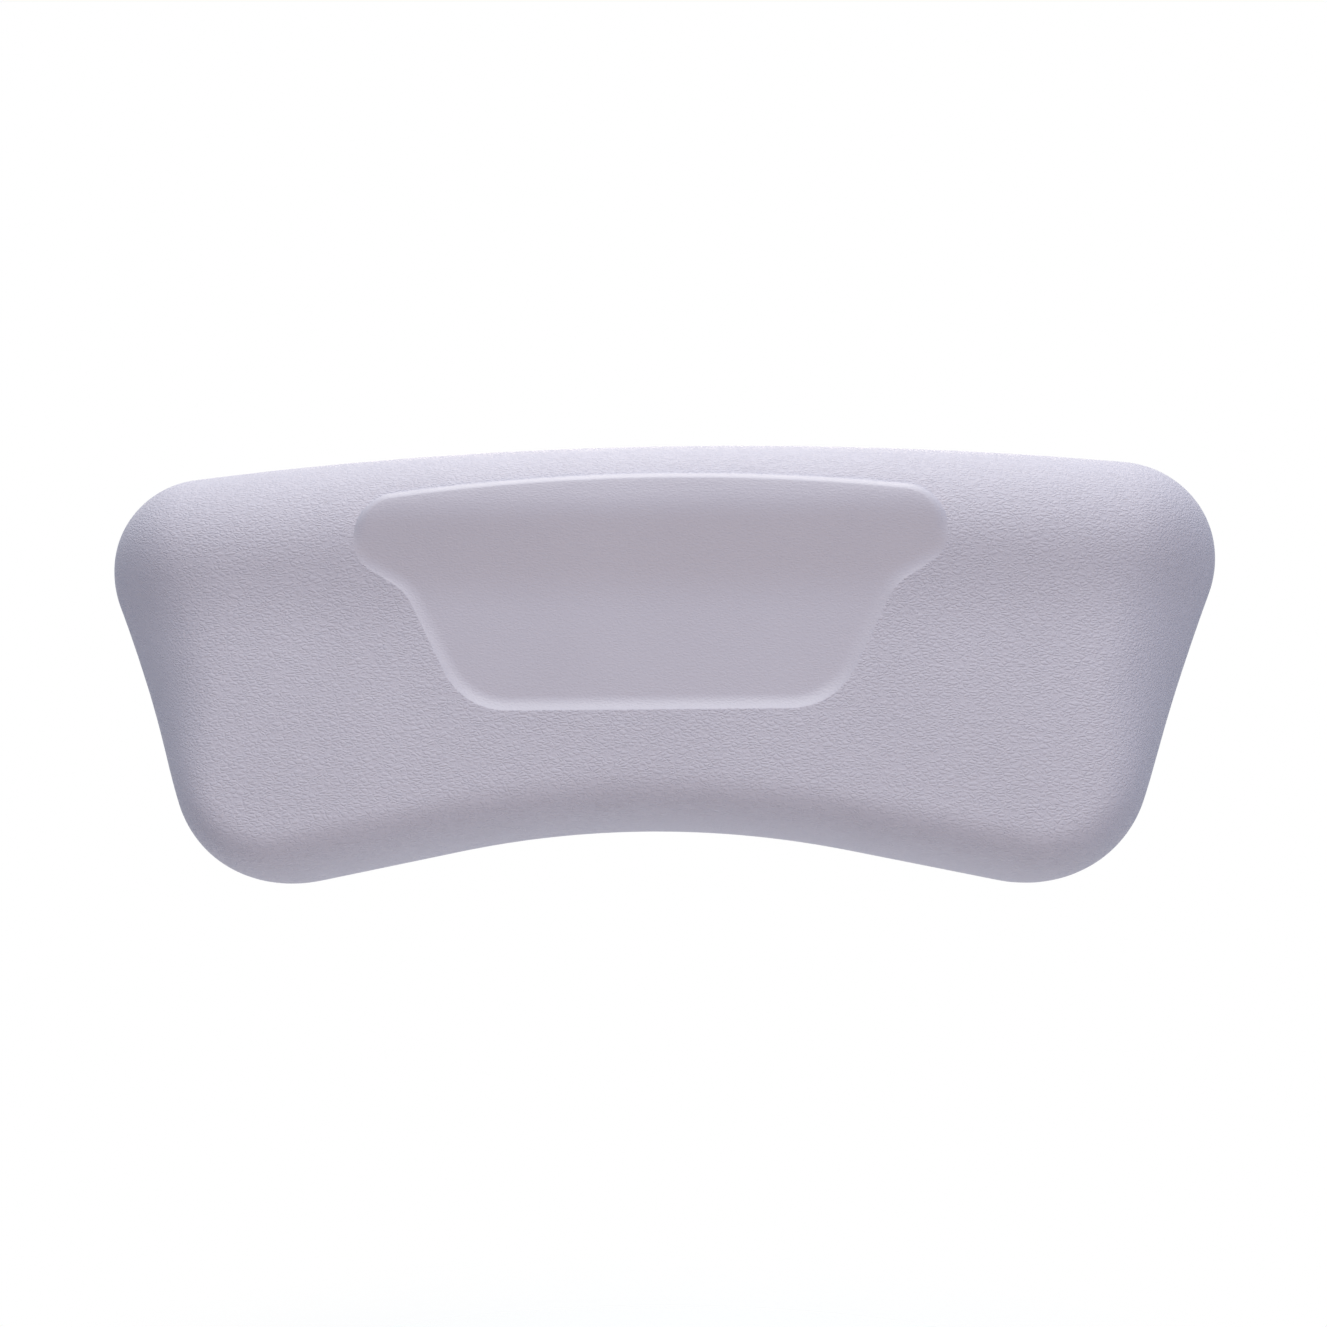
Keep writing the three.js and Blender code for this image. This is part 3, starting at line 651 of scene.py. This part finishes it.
def open_cell_foam():
    """Moulded open-cell polyurethane foam: dull, pitted all over by burst cells about 1 mm across, with
    painted shade darkening each pit.
    """
    material, tree = new_material("open_cell_foam")
    place = add_node(tree, "ShaderNodeTexCoord").outputs["Object"]
    cells = add_node(
        tree, "ShaderNodeTexVoronoi", {"Vector": place, "Scale": 1 / FOAM_CELL, "Randomness": 1.0},
    )
    pits = add_node(
        tree, "ShaderNodeMapRange", {"Value": cells.outputs["Distance"], "From Max": FOAM_PIT_WIDTH},
    )
    # Painted shade: each pit's bottom is coloured darker than its rim, following the same mask as the bump
    tint = add_node(
        tree, "ShaderNodeMix",
        {"Factor": pits.outputs["Result"], "A": linear_colour("#75727c"), "B": linear_colour("#9a97a2")},
        data_type="RGBA",
    )
    bump = add_node(tree, "ShaderNodeBump", {"Height": pits.outputs["Result"], "Distance": FOAM_PIT_DEPTH})
    shader = add_node(
        tree, "ShaderNodeBsdfPrincipled",
        {"Base Color": tint.outputs[2], "Roughness": 0.95, "IOR": 1.45, "Normal": bump.outputs["Normal"]},
    )
    add_node(tree, "ShaderNodeOutputMaterial", {"Surface": shader.outputs["BSDF"]})
    return material


def moulded_plastic(name, colour, shade, grain, relief, roughness, ior):
    """Injection moulded plastic out of an etched mould: an even fine grain, and faint cloudy flow marks."""
    material, tree = new_material(name)
    place = add_node(tree, "ShaderNodeTexCoord").outputs["Object"]
    clouds = add_node(
        tree, "ShaderNodeTexNoise",
        {"Vector": place, "Scale": 1 / FLOW_MARK, "Detail": 4.0, "Distortion": 0.6},
    )
    # The grain is drawn coarser than an etched mould leaves it, to show in the render
    etched = add_node(tree, "ShaderNodeTexNoise", {"Vector": place, "Scale": 1 / grain, "Detail": 3.0})
    tint = add_node(
        tree, "ShaderNodeMix",
        {"Factor": clouds.outputs["Fac"], "A": linear_colour(colour), "B": linear_colour(shade)},
        data_type="RGBA",
    )
    gloss = add_node(
        tree, "ShaderNodeMapRange",
        {
            "Value": clouds.outputs["Fac"],
            "To Min": roughness - GLOSS_SPREAD, "To Max": roughness + GLOSS_SPREAD,
        },
    )
    bump = add_node(tree, "ShaderNodeBump", {"Height": etched.outputs["Fac"], "Distance": relief})
    shader = add_node(
        tree, "ShaderNodeBsdfPrincipled",
        {
            "Base Color": tint.outputs[2], "Roughness": gloss.outputs["Result"], "IOR": ior,
            "Normal": bump.outputs["Normal"],
        },
    )
    add_node(tree, "ShaderNodeOutputMaterial", {"Surface": shader.outputs["BSDF"]})
    return material, shader


def natural_acetal():
    """Moulded natural acetal: milky and waxy, because light goes a little way into it."""
    material, shader = moulded_plastic(
        "natural_acetal", "#e8e6df", "#dfdcd2", grain=0.4 * MM, relief=0.01 * MM, roughness=0.36, ior=1.48,
    )
    shader.inputs["Subsurface Weight"].default_value = 0.3
    shader.inputs["Subsurface Radius"].default_value = (1.0, 0.9, 0.7)
    shader.inputs["Subsurface Scale"].default_value = MM
    return material


def nitrile_rubber():
    """Moulded nitrile rubber: black and dull, with a faint grey bloom."""
    material, tree = new_material("nitrile_rubber")
    place = add_node(tree, "ShaderNodeTexCoord").outputs["Object"]
    bloom = add_node(tree, "ShaderNodeTexNoise", {"Vector": place, "Scale": 1 / BLOOM_SIZE, "Detail": 4.0})
    tint = add_node(
        tree, "ShaderNodeMix",
        {"Factor": bloom.outputs["Fac"], "A": linear_colour("#151516"), "B": linear_colour("#2b2b2d")},
        data_type="RGBA",
    )
    bump = add_node(tree, "ShaderNodeBump", {"Height": bloom.outputs["Fac"], "Distance": BLOOM_RELIEF})
    shader = add_node(
        tree, "ShaderNodeBsdfPrincipled",
        {"Base Color": tint.outputs[2], "Roughness": 0.7, "IOR": 1.52, "Normal": bump.outputs["Normal"]},
    )
    add_node(tree, "ShaderNodeOutputMaterial", {"Surface": shader.outputs["BSDF"]})
    return material


def cold_formed_stainless():
    """Cold formed stainless steel: bright, with scuffs, drawn coarse enough to show, that vary its shine."""
    material, tree = new_material("cold_formed_stainless")
    place = add_node(tree, "ShaderNodeTexCoord").outputs["Object"]
    scuffs = add_node(
        tree, "ShaderNodeTexNoise",
        {"Vector": place, "Scale": 1 / SCUFF_SIZE, "Detail": 5.0, "Distortion": 1.5},
    )
    gloss = add_node(
        tree, "ShaderNodeMapRange", {"Value": scuffs.outputs["Fac"], "To Min": 0.2, "To Max": 0.42},
    )
    bump = add_node(tree, "ShaderNodeBump", {"Height": scuffs.outputs["Fac"], "Distance": SCUFF_RELIEF})
    shader = add_node(
        tree, "ShaderNodeBsdfPrincipled",
        {
            "Base Color": linear_colour("#b8babd"), "Metallic": 1.0, "Roughness": gloss.outputs["Result"],
            "Normal": bump.outputs["Normal"],
        },
    )
    add_node(tree, "ShaderNodeOutputMaterial", {"Surface": shader.outputs["BSDF"]})
    return material


# Materials of the pieces
grained = self_skinned_polyurethane(
    "grained_polyurethane", "#bdb8c4", "#b6b1bd",
    pebble=0.9 * MM, relief=0.12 * MM, roughness=0.58, specular=0.25,
)
smooth = self_skinned_polyurethane(
    "smooth_polyurethane", "#bab5c1", "#b3aeba",
    pebble=0.8 * MM, relief=0.03 * MM, roughness=0.42, specular=0.4,
)
foam = open_cell_foam()
plate_abs, _ = moulded_plastic(
    "textured_abs", "#4b4b50", "#424247", grain=0.5 * MM, relief=0.06 * MM, roughness=0.6, ior=1.54,
)
keeper_nylon, _ = moulded_plastic(
    "satin_nylon", "#5f5f66", "#57575d", grain=0.3 * MM, relief=0.02 * MM, roughness=0.42, ior=1.53,
)
peg_acetal = natural_acetal()
ring_rubber = nitrile_rubber()
screw_steel = cold_formed_stainless()


def outer_skin():
    """The pillow's skin: its whole outside, the return at the back and the inside face."""
    rows = [pad_row(0.0, -GIRTH_DEPTH)] + back_rows(0.0, OUTSIDE_BACK_STEPS)
    for angle in np.linspace(0, math.pi / 2, RETURN_STEPS + 1):
        inset = OPENING_INSET - RETURN_ROUND * (1 - math.sin(angle))
        rows.append(pad_row(inset, -RETURN_ROUND * (1 - math.cos(angle))))
    rows.append(pad_row(OPENING_INSET, -SKIN))
    rows += back_rows(SKIN, INSIDE_BACK_STEPS)[::-1]
    rows.append(pad_row(SKIN, -GIRTH_DEPTH))
    outside, outside_faces, in_panel = front_mesh(0.0, **OUTSIDE_MESH)
    inside, inside_faces, _ = front_mesh(SKIN, **INSIDE_MESH)
    vertices, faces = gathered([(outside, outside_faces), (inside, inside_faces), ring_faces(rows)])
    face_material = np.zeros(len(faces), int)
    face_material[: len(in_panel)] = in_panel
    return make_piece("pillow_skin", vertices, faces, [grained, smooth], face_material)


def rounded_box(width, height, radius, x=0.0, z=0.0):
    """Points and inward directions clockwise round a box with rounded corners."""
    points, inward = [], []
    for turn, (side_x, side_z) in enumerate(((1, 1), (1, -1), (-1, -1), (-1, 1))):
        centre = np.array((x + side_x * (width / 2 - radius), z + side_z * (height / 2 - radius)))
        for angle in np.linspace(turn, turn + 1, CORNER_STEPS + 1) * math.pi / 2:
            outward = np.array((math.sin(angle), math.cos(angle)))
            points.append(centre + radius * outward)
            inward.append(-outward)
    return np.array(points), np.array(inward)


def centre_loop(x=0.0):
    """A loop shrunk to a point, whose outward paths turn a solid about an axis along Y."""
    angles = np.arange(TURNED_SIDES) / TURNED_SIDES * math.tau
    return np.tile((x, 0.0), (TURNED_SIDES, 1)), np.column_stack((np.sin(angles), np.cos(angles)))


def filleted(path, radius):
    """A path with its inner corners rounded off; two corners share the length between them by halves."""
    path = [np.array(point, float) for point in path]
    rounded = [path[0]]
    for i in range(1, len(path) - 1):
        corner = path[i]
        back, ahead = path[i - 1] - corner, path[i + 1] - corner
        half = math.acos(np.clip(unit(back) @ unit(ahead), -1, 1)) / 2
        back_room = np.linalg.norm(back) * (1 if i == 1 else 0.5)
        ahead_room = np.linalg.norm(ahead) * (1 if i == len(path) - 2 else 0.5)
        tangent = min(radius / math.tan(half), back_room, ahead_room)
        for share in np.linspace(0, 1, FILLET_STEPS + 1):
            rounded.append(corner + tangent * (unit(back) * (1 - share) ** 2 + unit(ahead) * share**2))
    return np.array(rounded + [path[-1]])


def step_path(top, bottom, flare=-1):
    """Wall between two levels with rounded ends; flare -1 widens it at the top, as a pan's wall does."""
    return filleted([(flare * EDGE, top), (0, top), (0, bottom), (EDGE, bottom)], EDGE)


def swept(loop, path):
    """Wall made by a loop that follows a path of insets and y."""
    points, inward = loop
    return ring_faces([flat_row(points + inward * inset, y) for inset, y in path])


def inset_points(loop, inset):
    """The points of a loop, drawn in by an inset."""
    points, inward = loop
    return points + inward * inset


def flat_face(border, holes, y):
    """A flat face inside a border, open at its holes."""
    loops = [border] + holes
    plan, faces = filled_plan(np.concatenate(loops), loops)
    middles = np.array([plan[list(face)].mean(0) for face in faces])
    kept = np.ones(len(faces), bool)
    for hole in holes:
        kept &= distance_inside(middles, hole) < 0
    return flat_row(plan, y), [face for face, keep in zip(faces, kept) if keep]


def block_loop(spare, x):
    """The outline of the block behind a keeper's pocket."""
    width = KEEPER_WIDTH + 2 * (POCKET_WALL + spare)
    return rounded_box(width, KEEPER_HEIGHT + 2 * (POCKET_WALL + spare), KEEPER_CORNER, x)


def foam_core():
    """The foam that fills the skin, with room for the carrier plate in its back."""
    layer = SKIN + GAP
    room_inset = PLATE_INSET - GAP
    room_floor = PLATE_FRONT - GAP
    block_floor = BLOCK_FRONT - GAP
    front, front_faces, _ = front_mesh(layer, **INSIDE_MESH)
    rows = [pad_row(layer, -GIRTH_DEPTH)] + back_rows(layer, FOAM_BACK_STEPS)
    rows += [pad_row(room_inset, y) for y in (-layer, room_floor)]
    blocks = [block_loop(GAP, side * PEG_X) for side in (-1, 1)]
    parts = [
        (front, front_faces),
        ring_faces(rows),
        flat_face(PAD_RING + PAD_NORMAL * room_inset, [points for points, _ in blocks], room_floor),
    ]
    for block in blocks:
        parts.append(swept(block, [(0, room_floor), (0, block_floor)]))
        parts.append(flat_face(inset_points(block, 0), [], block_floor))
    return make_piece("foam_filling", *gathered(parts), [foam])


def pans():
    """Outlines of the pans that lighten the carrier plate."""
    middle_width = 2 * (PEG_X - KEEPER_WIDTH / 2 - RIB)
    middle_z = (MIDDLE_BAR + MIDDLE_PAN_HEIGHT) / 2
    upper_z = KEEPER_HEIGHT / 2 + RIB + UPPER_PAN_HEIGHT / 2
    lower_z = -(KEEPER_HEIGHT / 2 + RIB + LOWER_PAN_HEIGHT / 2)
    end_x = PEG_X + KEEPER_WIDTH / 2 + RIB + END_PAN_WIDTH / 2
    boxes = [(middle_width, MIDDLE_PAN_HEIGHT, 0, z) for z in (middle_z, -middle_z)]
    for side in (-1, 1):
        boxes += [
            (UPPER_PAN_WIDTH, UPPER_PAN_HEIGHT, side * (PEG_X + UPPER_PAN_SHIFT), upper_z),
            (LOWER_PAN_WIDTH, LOWER_PAN_HEIGHT, side * (PEG_X + LOWER_PAN_SHIFT), lower_z),
            (END_PAN_WIDTH, END_PAN_HEIGHT, side * end_x, 0),
        ]
    return [rounded_box(width, height, PAN_CORNER, x, z) for width, height, x, z in boxes]


def carrier_plate():
    """The carrier plate: rim, pans between ribs, and a pocket for each peg."""
    # Every second point of the pillow's outline is enough for the plate
    border = (PAD_RING[::2], PAD_NORMAL[::2])
    raised = OPENING_INSET + GAP
    rim = filleted(
        [
            (raised + EDGE, 0), (raised, 0), (raised, RIM_BACK),
            (PLATE_INSET, RIM_BACK), (PLATE_INSET, PLATE_FRONT), (PLATE_INSET + EDGE, PLATE_FRONT),
        ],
        EDGE,
    )
    bore = SCREW_RADIUS + GAP
    bottom = SCREW_TIP - GAP
    parts = [swept(border, rim)]
    back_holes, front_holes = [], []
    for pan in pans():
        parts.append(swept(pan, step_path(0, -PAN_DEPTH)))
        parts.append(flat_face(inset_points(pan, EDGE), [], -PAN_DEPTH))
        back_holes.append(inset_points(pan, -EDGE))
    for side in (-1, 1):
        x = side * PEG_X
        seat = rounded_box(KEEPER_WIDTH + 2 * GAP, KEEPER_HEIGHT + 2 * GAP, KEEPER_CORNER + GAP, x)
        pocket_width = FOOT_WIDTH + 2 * (PEG_TRAVEL + GAP)
        pocket = rounded_box(pocket_width, FOOT_HEIGHT + 2 * GAP, FOOT_CORNER, x)
        block = block_loop(0.0, x)
        holes = [centre_loop(x + place) for place in SCREW_PLACES]
        parts.append(swept(seat, step_path(0, FOOT_BACK)))
        seat_holes = [inset_points(pocket, -EDGE)] + [inset_points(hole, bore) for hole in holes]
        parts.append(flat_face(inset_points(seat, EDGE), seat_holes, FOOT_BACK))
        parts.append(swept(pocket, step_path(FOOT_BACK, POCKET_FLOOR)))
        parts.append(flat_face(inset_points(pocket, EDGE), [], POCKET_FLOOR))
        for hole in holes:
            parts.append(swept(hole, [(bore, FOOT_BACK), (bore, bottom), (0, bottom)]))
        parts.append(swept(block, step_path(PLATE_FRONT, BLOCK_FRONT)))
        parts.append(flat_face(inset_points(block, EDGE), [], BLOCK_FRONT))
        back_holes.append(inset_points(seat, -EDGE))
        front_holes.append(inset_points(block, -EDGE))
    parts.append(flat_face(inset_points(border, raised + EDGE), back_holes, 0))
    parts.append(flat_face(inset_points(border, PLATE_INSET + EDGE), front_holes, PLATE_FRONT))
    return make_piece("carrier_moulding", *gathered(parts), [plate_abs])


def keeper(hand, x):
    """A slotted cover that holds a peg's foot in its pocket."""
    slot_width = 2 * (SHANK_RADIUS + GAP)
    outline = rounded_box(KEEPER_WIDTH, KEEPER_HEIGHT, KEEPER_CORNER)
    slot = rounded_box(slot_width + 2 * PEG_TRAVEL, slot_width, slot_width / 2)
    mouth = SCREW_HEAD_RADIUS + GAP
    bore = SCREW_RADIUS + GAP
    sink = filleted(
        [
            (mouth + EDGE, 0), (mouth, 0), (mouth, SCREW_FACE),
            (bore, SCREW_FACE - SCREW_CONE), (bore, KEEPER_FRONT),
        ],
        SCREW_EDGE_ROUND,
    )
    holes = [centre_loop(place) for place in SCREW_PLACES]
    parts = [
        swept(outline, step_path(0, KEEPER_FRONT, flare=1)),
        swept(slot, filleted([(-EDGE, 0), (0, 0), (0, KEEPER_FRONT), (-EDGE, KEEPER_FRONT)], EDGE)),
    ]
    for y, reach in ((0, mouth + EDGE), (KEEPER_FRONT, bore)):
        openings = [inset_points(slot, -EDGE)] + [inset_points(hole, reach) for hole in holes]
        parts.append(flat_face(inset_points(outline, EDGE), openings, y))
    parts += [swept(hole, sink) for hole in holes]
    return make_piece(f"{hand}_keeper_cover", *gathered(parts, x), [keeper_nylon])


def prong_row(radius, y):
    """One row of the right prong of a split peg: an arc closed by the wall of the split."""
    reach = math.acos(SPLIT_WIDTH / 2 / radius)
    angles = np.linspace(reach, -reach, PRONG_STEPS + 1)
    return flat_row(radius * np.column_stack((np.cos(angles), np.sin(angles))), y)


def peg(hand, x):
    """A snap peg: a foot, a grooved shank and a barbed end that is split in two."""
    foot = rounded_box(FOOT_WIDTH, FOOT_HEIGHT, FOOT_CORNER)
    ease = (SHANK_RADIUS - GROOVE_RADIUS) / 2
    half = RING_SECTION + GAP
    crest = BARB_Y + BARB_RISE
    shank = filleted(
        [
            (SHANK_RADIUS, FOOT_BACK), (SHANK_RADIUS, GROOVE_Y - half - ease),
            (GROOVE_RADIUS, GROOVE_Y - half), (GROOVE_RADIUS, GROOVE_Y + half),
            (SHANK_RADIUS, GROOVE_Y + half + ease), (SHANK_RADIUS, SPLIT_Y),
        ],
        SPLIT_EDGE,
    )
    barb = filleted(
        [
            (SHANK_RADIUS, SPLIT_Y), (SHANK_RADIUS, BARB_Y),
            (BARB_RADIUS, crest), (BARB_RADIUS, crest + BARB_LAND),
            (TIP_RADIUS + TIP_CHAMFER / 2, PEG_TIP - TIP_CHAMFER), (TIP_RADIUS, PEG_TIP),
        ],
        EDGE,
    )
    # The shank's circle is made of the prongs' own arcs, so that they meet point for point at the split
    right_arc = prong_row(SHANK_RADIUS, 0)[:, ::2] / SHANK_RADIUS
    corner_x, corner_z = right_arc[-1]
    corner = math.atan2(corner_z, corner_x)
    lower_angles = np.linspace(corner, -math.pi - corner, SPLIT_STEPS + 1)[1:-1]
    lower_arc = np.column_stack((np.cos(lower_angles), np.sin(lower_angles)))
    circle = np.concatenate((right_arc, lower_arc, -right_arc, -lower_arc))
    split = np.concatenate(
        (right_arc[-1:], lower_arc, -right_arc[:1], -right_arc[-1:], -lower_arc, right_arc[:1])
    )
    parts = [
        swept(foot, step_path(FOOT_BACK, FOOT_FRONT, flare=1)),
        flat_face(inset_points(foot, EDGE), [], FOOT_FRONT),
        flat_face(inset_points(foot, EDGE), [SHANK_RADIUS * circle], FOOT_BACK),
        swept((np.zeros_like(circle), circle), shank),
        flat_face(SHANK_RADIUS * split, [], SPLIT_Y),
    ]
    rows = [prong_row(radius, y) for radius, y in barb]
    tip_face = tuple(range(len(rows[-1])))
    for side in (1, -1):
        prong_side = np.array((side, 1, side))
        parts.append(ring_faces([row * prong_side for row in rows]))
        parts.append((rows[-1] * prong_side, [tip_face]))
    return make_piece(f"{hand}_snap_peg", *gathered(parts, x), [peg_acetal], bevel=SPLIT_EDGE)


def peg_ring(hand, x):
    """The rubber ring in a peg's groove."""
    reach = GROOVE_RADIUS + GAP + RING_SECTION
    angles = np.linspace(0, math.tau, TUBE_SIDES + 1)
    tube = np.column_stack((reach + RING_SECTION * np.cos(angles), GROOVE_Y + RING_SECTION * np.sin(angles)))
    ring = swept(centre_loop(), tube)
    return make_piece(f"{hand}_rubber_ring", *gathered([ring], x), [ring_rubber])


def cross_loop():
    """Outline of a cross recess, clockwise, with its corners rounded."""
    long, wide = RECESS_LONG / 2, RECESS_WIDE / 2
    arm = [(wide, long), (wide, wide), (long, wide)]
    corners = []
    for turn in range(4):
        cosine, sine = round(math.cos(turn * math.pi / 2)), round(math.sin(turn * math.pi / 2))
        corners += [(cosine * a + sine * b, -sine * a + cosine * b) for a, b in arm]
    closed = corners[-1:] + corners + corners[:1]
    return filleted(closed, wide / 2)[1:-1]


def keeper_screw(name, x):
    """A countersunk cross-recess screw with its thread."""
    cone = SCREW_FACE - SCREW_CONE
    recess = cross_loop()
    floor = SCREW_FACE - RECESS_DEEP
    axis = centre_loop()
    head = filleted(
        [
            (SCREW_HEAD_RADIUS - SCREW_EDGE_ROUND, SCREW_FACE), (SCREW_HEAD_RADIUS, SCREW_FACE),
            (SCREW_RADIUS, cone),
        ],
        SCREW_EDGE_ROUND,
    )
    turn = np.arange(TURNED_SIDES) / TURNED_SIDES
    rows = []
    for y in np.linspace(cone, SCREW_TIP, THREAD_ROWS):
        wave = 0.5 + 0.5 * np.cos(math.tau * (y / THREAD_PITCH + turn))
        point = np.clip((y - SCREW_TIP) / SCREW_POINT, 0, 1)
        fade = np.clip((cone - y) / THREAD_PITCH, 0, 1) * point
        radius = SCREW_RADIUS * lerp(SCREW_POINT_SHARE, 1, point) + THREAD_CREST * fade * wave**2
        rows.append(flat_row(axis[1] * radius[:, None], y))
    parts = [
        flat_face(inset_points(axis, head[0][0]), [recess], SCREW_FACE),
        swept(axis, head),
        ring_faces(rows),
        flat_face(inset_points(axis, SCREW_RADIUS * SCREW_POINT_SHARE), [], SCREW_TIP),
        swept((recess, np.zeros_like(recess)), [(0, SCREW_FACE), (0, floor)]),
        flat_face(recess, [], floor),
    ]
    return make_piece(name, *gathered(parts, x), [screw_steel])


def dress(piece, body, node):
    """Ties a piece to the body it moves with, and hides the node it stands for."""
    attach(piece, body)
    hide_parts(node)
    return piece


# The pieces of the headrest
skin = dress(outer_skin(), "headrest", "outer_skin")
filling = dress(foam_core(), "headrest", "foam_core")
dress(carrier_plate(), "headrest", "carrier_plate")
for hand, side in (("left", -1), ("right", 1)):
    peg_x = side * PEG_X
    dress(keeper(hand, peg_x), "headrest", f"keeper_{hand}")
    dress(peg(hand, peg_x), f"{hand}_peg", f"peg_{hand}")
    dress(peg_ring(hand, peg_x), f"{hand}_peg", f"peg_ring_{hand}")
    for end, step in (("inner", -side), ("outer", side)):
        screw = keeper_screw(f"{hand}_{end}_screw", peg_x + step * SCREW_X)
        dress(screw, "headrest", f"keeper_screw_{hand}_{end}")


def soft_lamp(name, place, size, power, colour, aim=LAMP_AIM):
    """A rectangular softbox of a width and height in metres and a power in watts, facing its aim."""
    lamp = bpy.data.lights.new(name, "AREA")
    lamp.shape = "RECTANGLE"
    lamp.size, lamp.size_y = size
    lamp.energy = power
    lamp.color = colour
    holder = bpy.data.objects.new(name, lamp)
    holder.location = place
    holder.rotation_mode = "QUATERNION"
    holder.rotation_quaternion = (Vector(aim) - Vector(place)).to_track_quat("-Z", "Y")
    holder.visible_camera = False
    bpy.context.scene.collection.objects.link(holder)


def studio_world():
    """Faint even light, with white seen by the camera, in reflections and through clear parts."""
    world = bpy.data.worlds.new("studio")
    bpy.context.scene.world = world
    world.use_nodes = True
    tree = world.node_tree
    tree.nodes.clear()
    path = add_node(tree, "ShaderNodeLightPath")
    seen = add_node(
        tree, "ShaderNodeMath",
        {0: path.outputs["Is Camera Ray"], 1: path.outputs["Is Glossy Ray"]}, operation="MAXIMUM",
    )
    through = add_node(
        tree, "ShaderNodeMath",
        {0: seen.outputs["Value"], 1: path.outputs["Is Transmission Ray"]}, operation="MAXIMUM",
    )
    light = add_node(tree, "ShaderNodeBackground", {"Color": AMBIENT_COLOUR, "Strength": AMBIENT_STRENGTH})
    white = add_node(tree, "ShaderNodeBackground", {"Color": WHITE, "Strength": 1.0})
    mixed = add_node(
        tree, "ShaderNodeMixShader",
        {"Fac": through.outputs["Value"], 1: light.outputs["Background"], 2: white.outputs["Background"]},
    )
    add_node(tree, "ShaderNodeOutputWorld", {"Surface": mixed.outputs["Shader"]})


def studio_floor():
    """Pale matt floor well below the headrest, fading out into the white round it."""
    shape = bmesh.new()
    bmesh.ops.create_circle(shape, cap_ends=True, radius=FLOOR_RADIUS, segments=FLOOR_SIDES)
    mesh = bpy.data.meshes.new("floor")
    shape.to_mesh(mesh)
    shape.free()
    floor = bpy.data.objects.new("floor", mesh)
    floor.location = (0, 0, FLOOR_Z)
    bpy.context.scene.collection.objects.link(floor)
    material, tree = new_material("pale_floor")
    place = add_node(tree, "ShaderNodeTexCoord").outputs["Object"]
    reach = add_node(tree, "ShaderNodeVectorMath", {0: place}, operation="LENGTH")
    fade = add_node(
        tree, "ShaderNodeMapRange",
        {
            "Value": reach.outputs["Value"],
            "From Min": FLOOR_RADIUS * FLOOR_FADE_FROM, "From Max": FLOOR_RADIUS,
        },
        interpolation_type="SMOOTHSTEP",
    )
    matt = add_node(tree, "ShaderNodeBsdfDiffuse", {"Color": FLOOR_COLOUR})
    clear = add_node(tree, "ShaderNodeBsdfTransparent")
    mixed = add_node(
        tree, "ShaderNodeMixShader",
        {"Fac": fade.outputs["Result"], 1: matt.outputs["BSDF"], 2: clear.outputs["BSDF"]},
    )
    add_node(tree, "ShaderNodeOutputMaterial", {"Surface": mixed.outputs["Shader"]})
    mesh.materials.append(material)


def view_back(azimuth, elevation):
    """Direction from what is looked at back to the viewer."""
    return Vector(
        (
            math.sin(azimuth) * math.cos(elevation),
            -math.cos(azimuth) * math.cos(elevation),
            math.sin(elevation),
        )
    )


def photo_camera():
    """Camera at the photograph's viewing angle, its picture plane turned a little from its line of sight."""
    place = Vector(CAMERA_AIM) + view_back(CAMERA_AZIMUTH, CAMERA_ELEVATION) * CAMERA_DISTANCE
    facing = -view_back(CAMERA_AZIMUTH + CAMERA_PAN, CAMERA_ELEVATION)
    data = bpy.data.cameras.new("photo_camera")
    data.lens = CAMERA_LENS
    data.sensor_width = CAMERA_SENSOR
    data.shift_x = CAMERA_SHIFT
    data.clip_start = CAMERA_NEAR
    camera = bpy.data.objects.new("photo_camera", data)
    turn = facing.to_track_quat("-Z", "Y").to_matrix().to_4x4()
    roll = Matrix.Rotation(CAMERA_ROLL, 4, "Z")
    camera.matrix_world = Matrix.Translation(place) @ turn @ roll
    bpy.context.scene.collection.objects.link(camera)
    bpy.context.scene.camera = camera


# Lamps, surroundings and camera
soft_lamp(
    "top_softbox", place=(0, -0.25, 1.1), aim=FRONT_MIDDLE,
    size=(1.0, 1.0), power=13.3, colour=(0.975, 1, 0.94),
)
soft_lamp("top_back", place=(0, 0.5, 1.0), size=(0.8, 0.8), power=3.3, colour=(1, 0.92, 0.76))
soft_lamp("front_right", place=(0.7, -0.9, 0.8), size=(0.5, 0.5), power=3.8, colour=(1, 0.95, 0.95))
soft_lamp("front_left", place=(-0.7, -0.9, 0.8), size=(0.5, 0.5), power=0.8, colour=(1, 0.75, 0.5))
soft_lamp("low_front", place=(0, -1.4, -0.35), size=(0.8, 0.5), power=3.1, colour=(1, 0.55, 0.10))
soft_lamp(
    "under", place=(0, -0.5, -0.40), aim=FRONT_MIDDLE,
    size=(0.5, 0.3), power=0.4, colour=(1, 0.95, 0.9),
)
soft_lamp("back_fill", place=(0, 1.5, 0.35), size=(1.0, 0.8), power=8.0, colour=(1, 0.83, 0.62))
studio_world()
studio_floor()
photo_camera()
bpy.context.scene.view_settings.view_transform = "Standard"
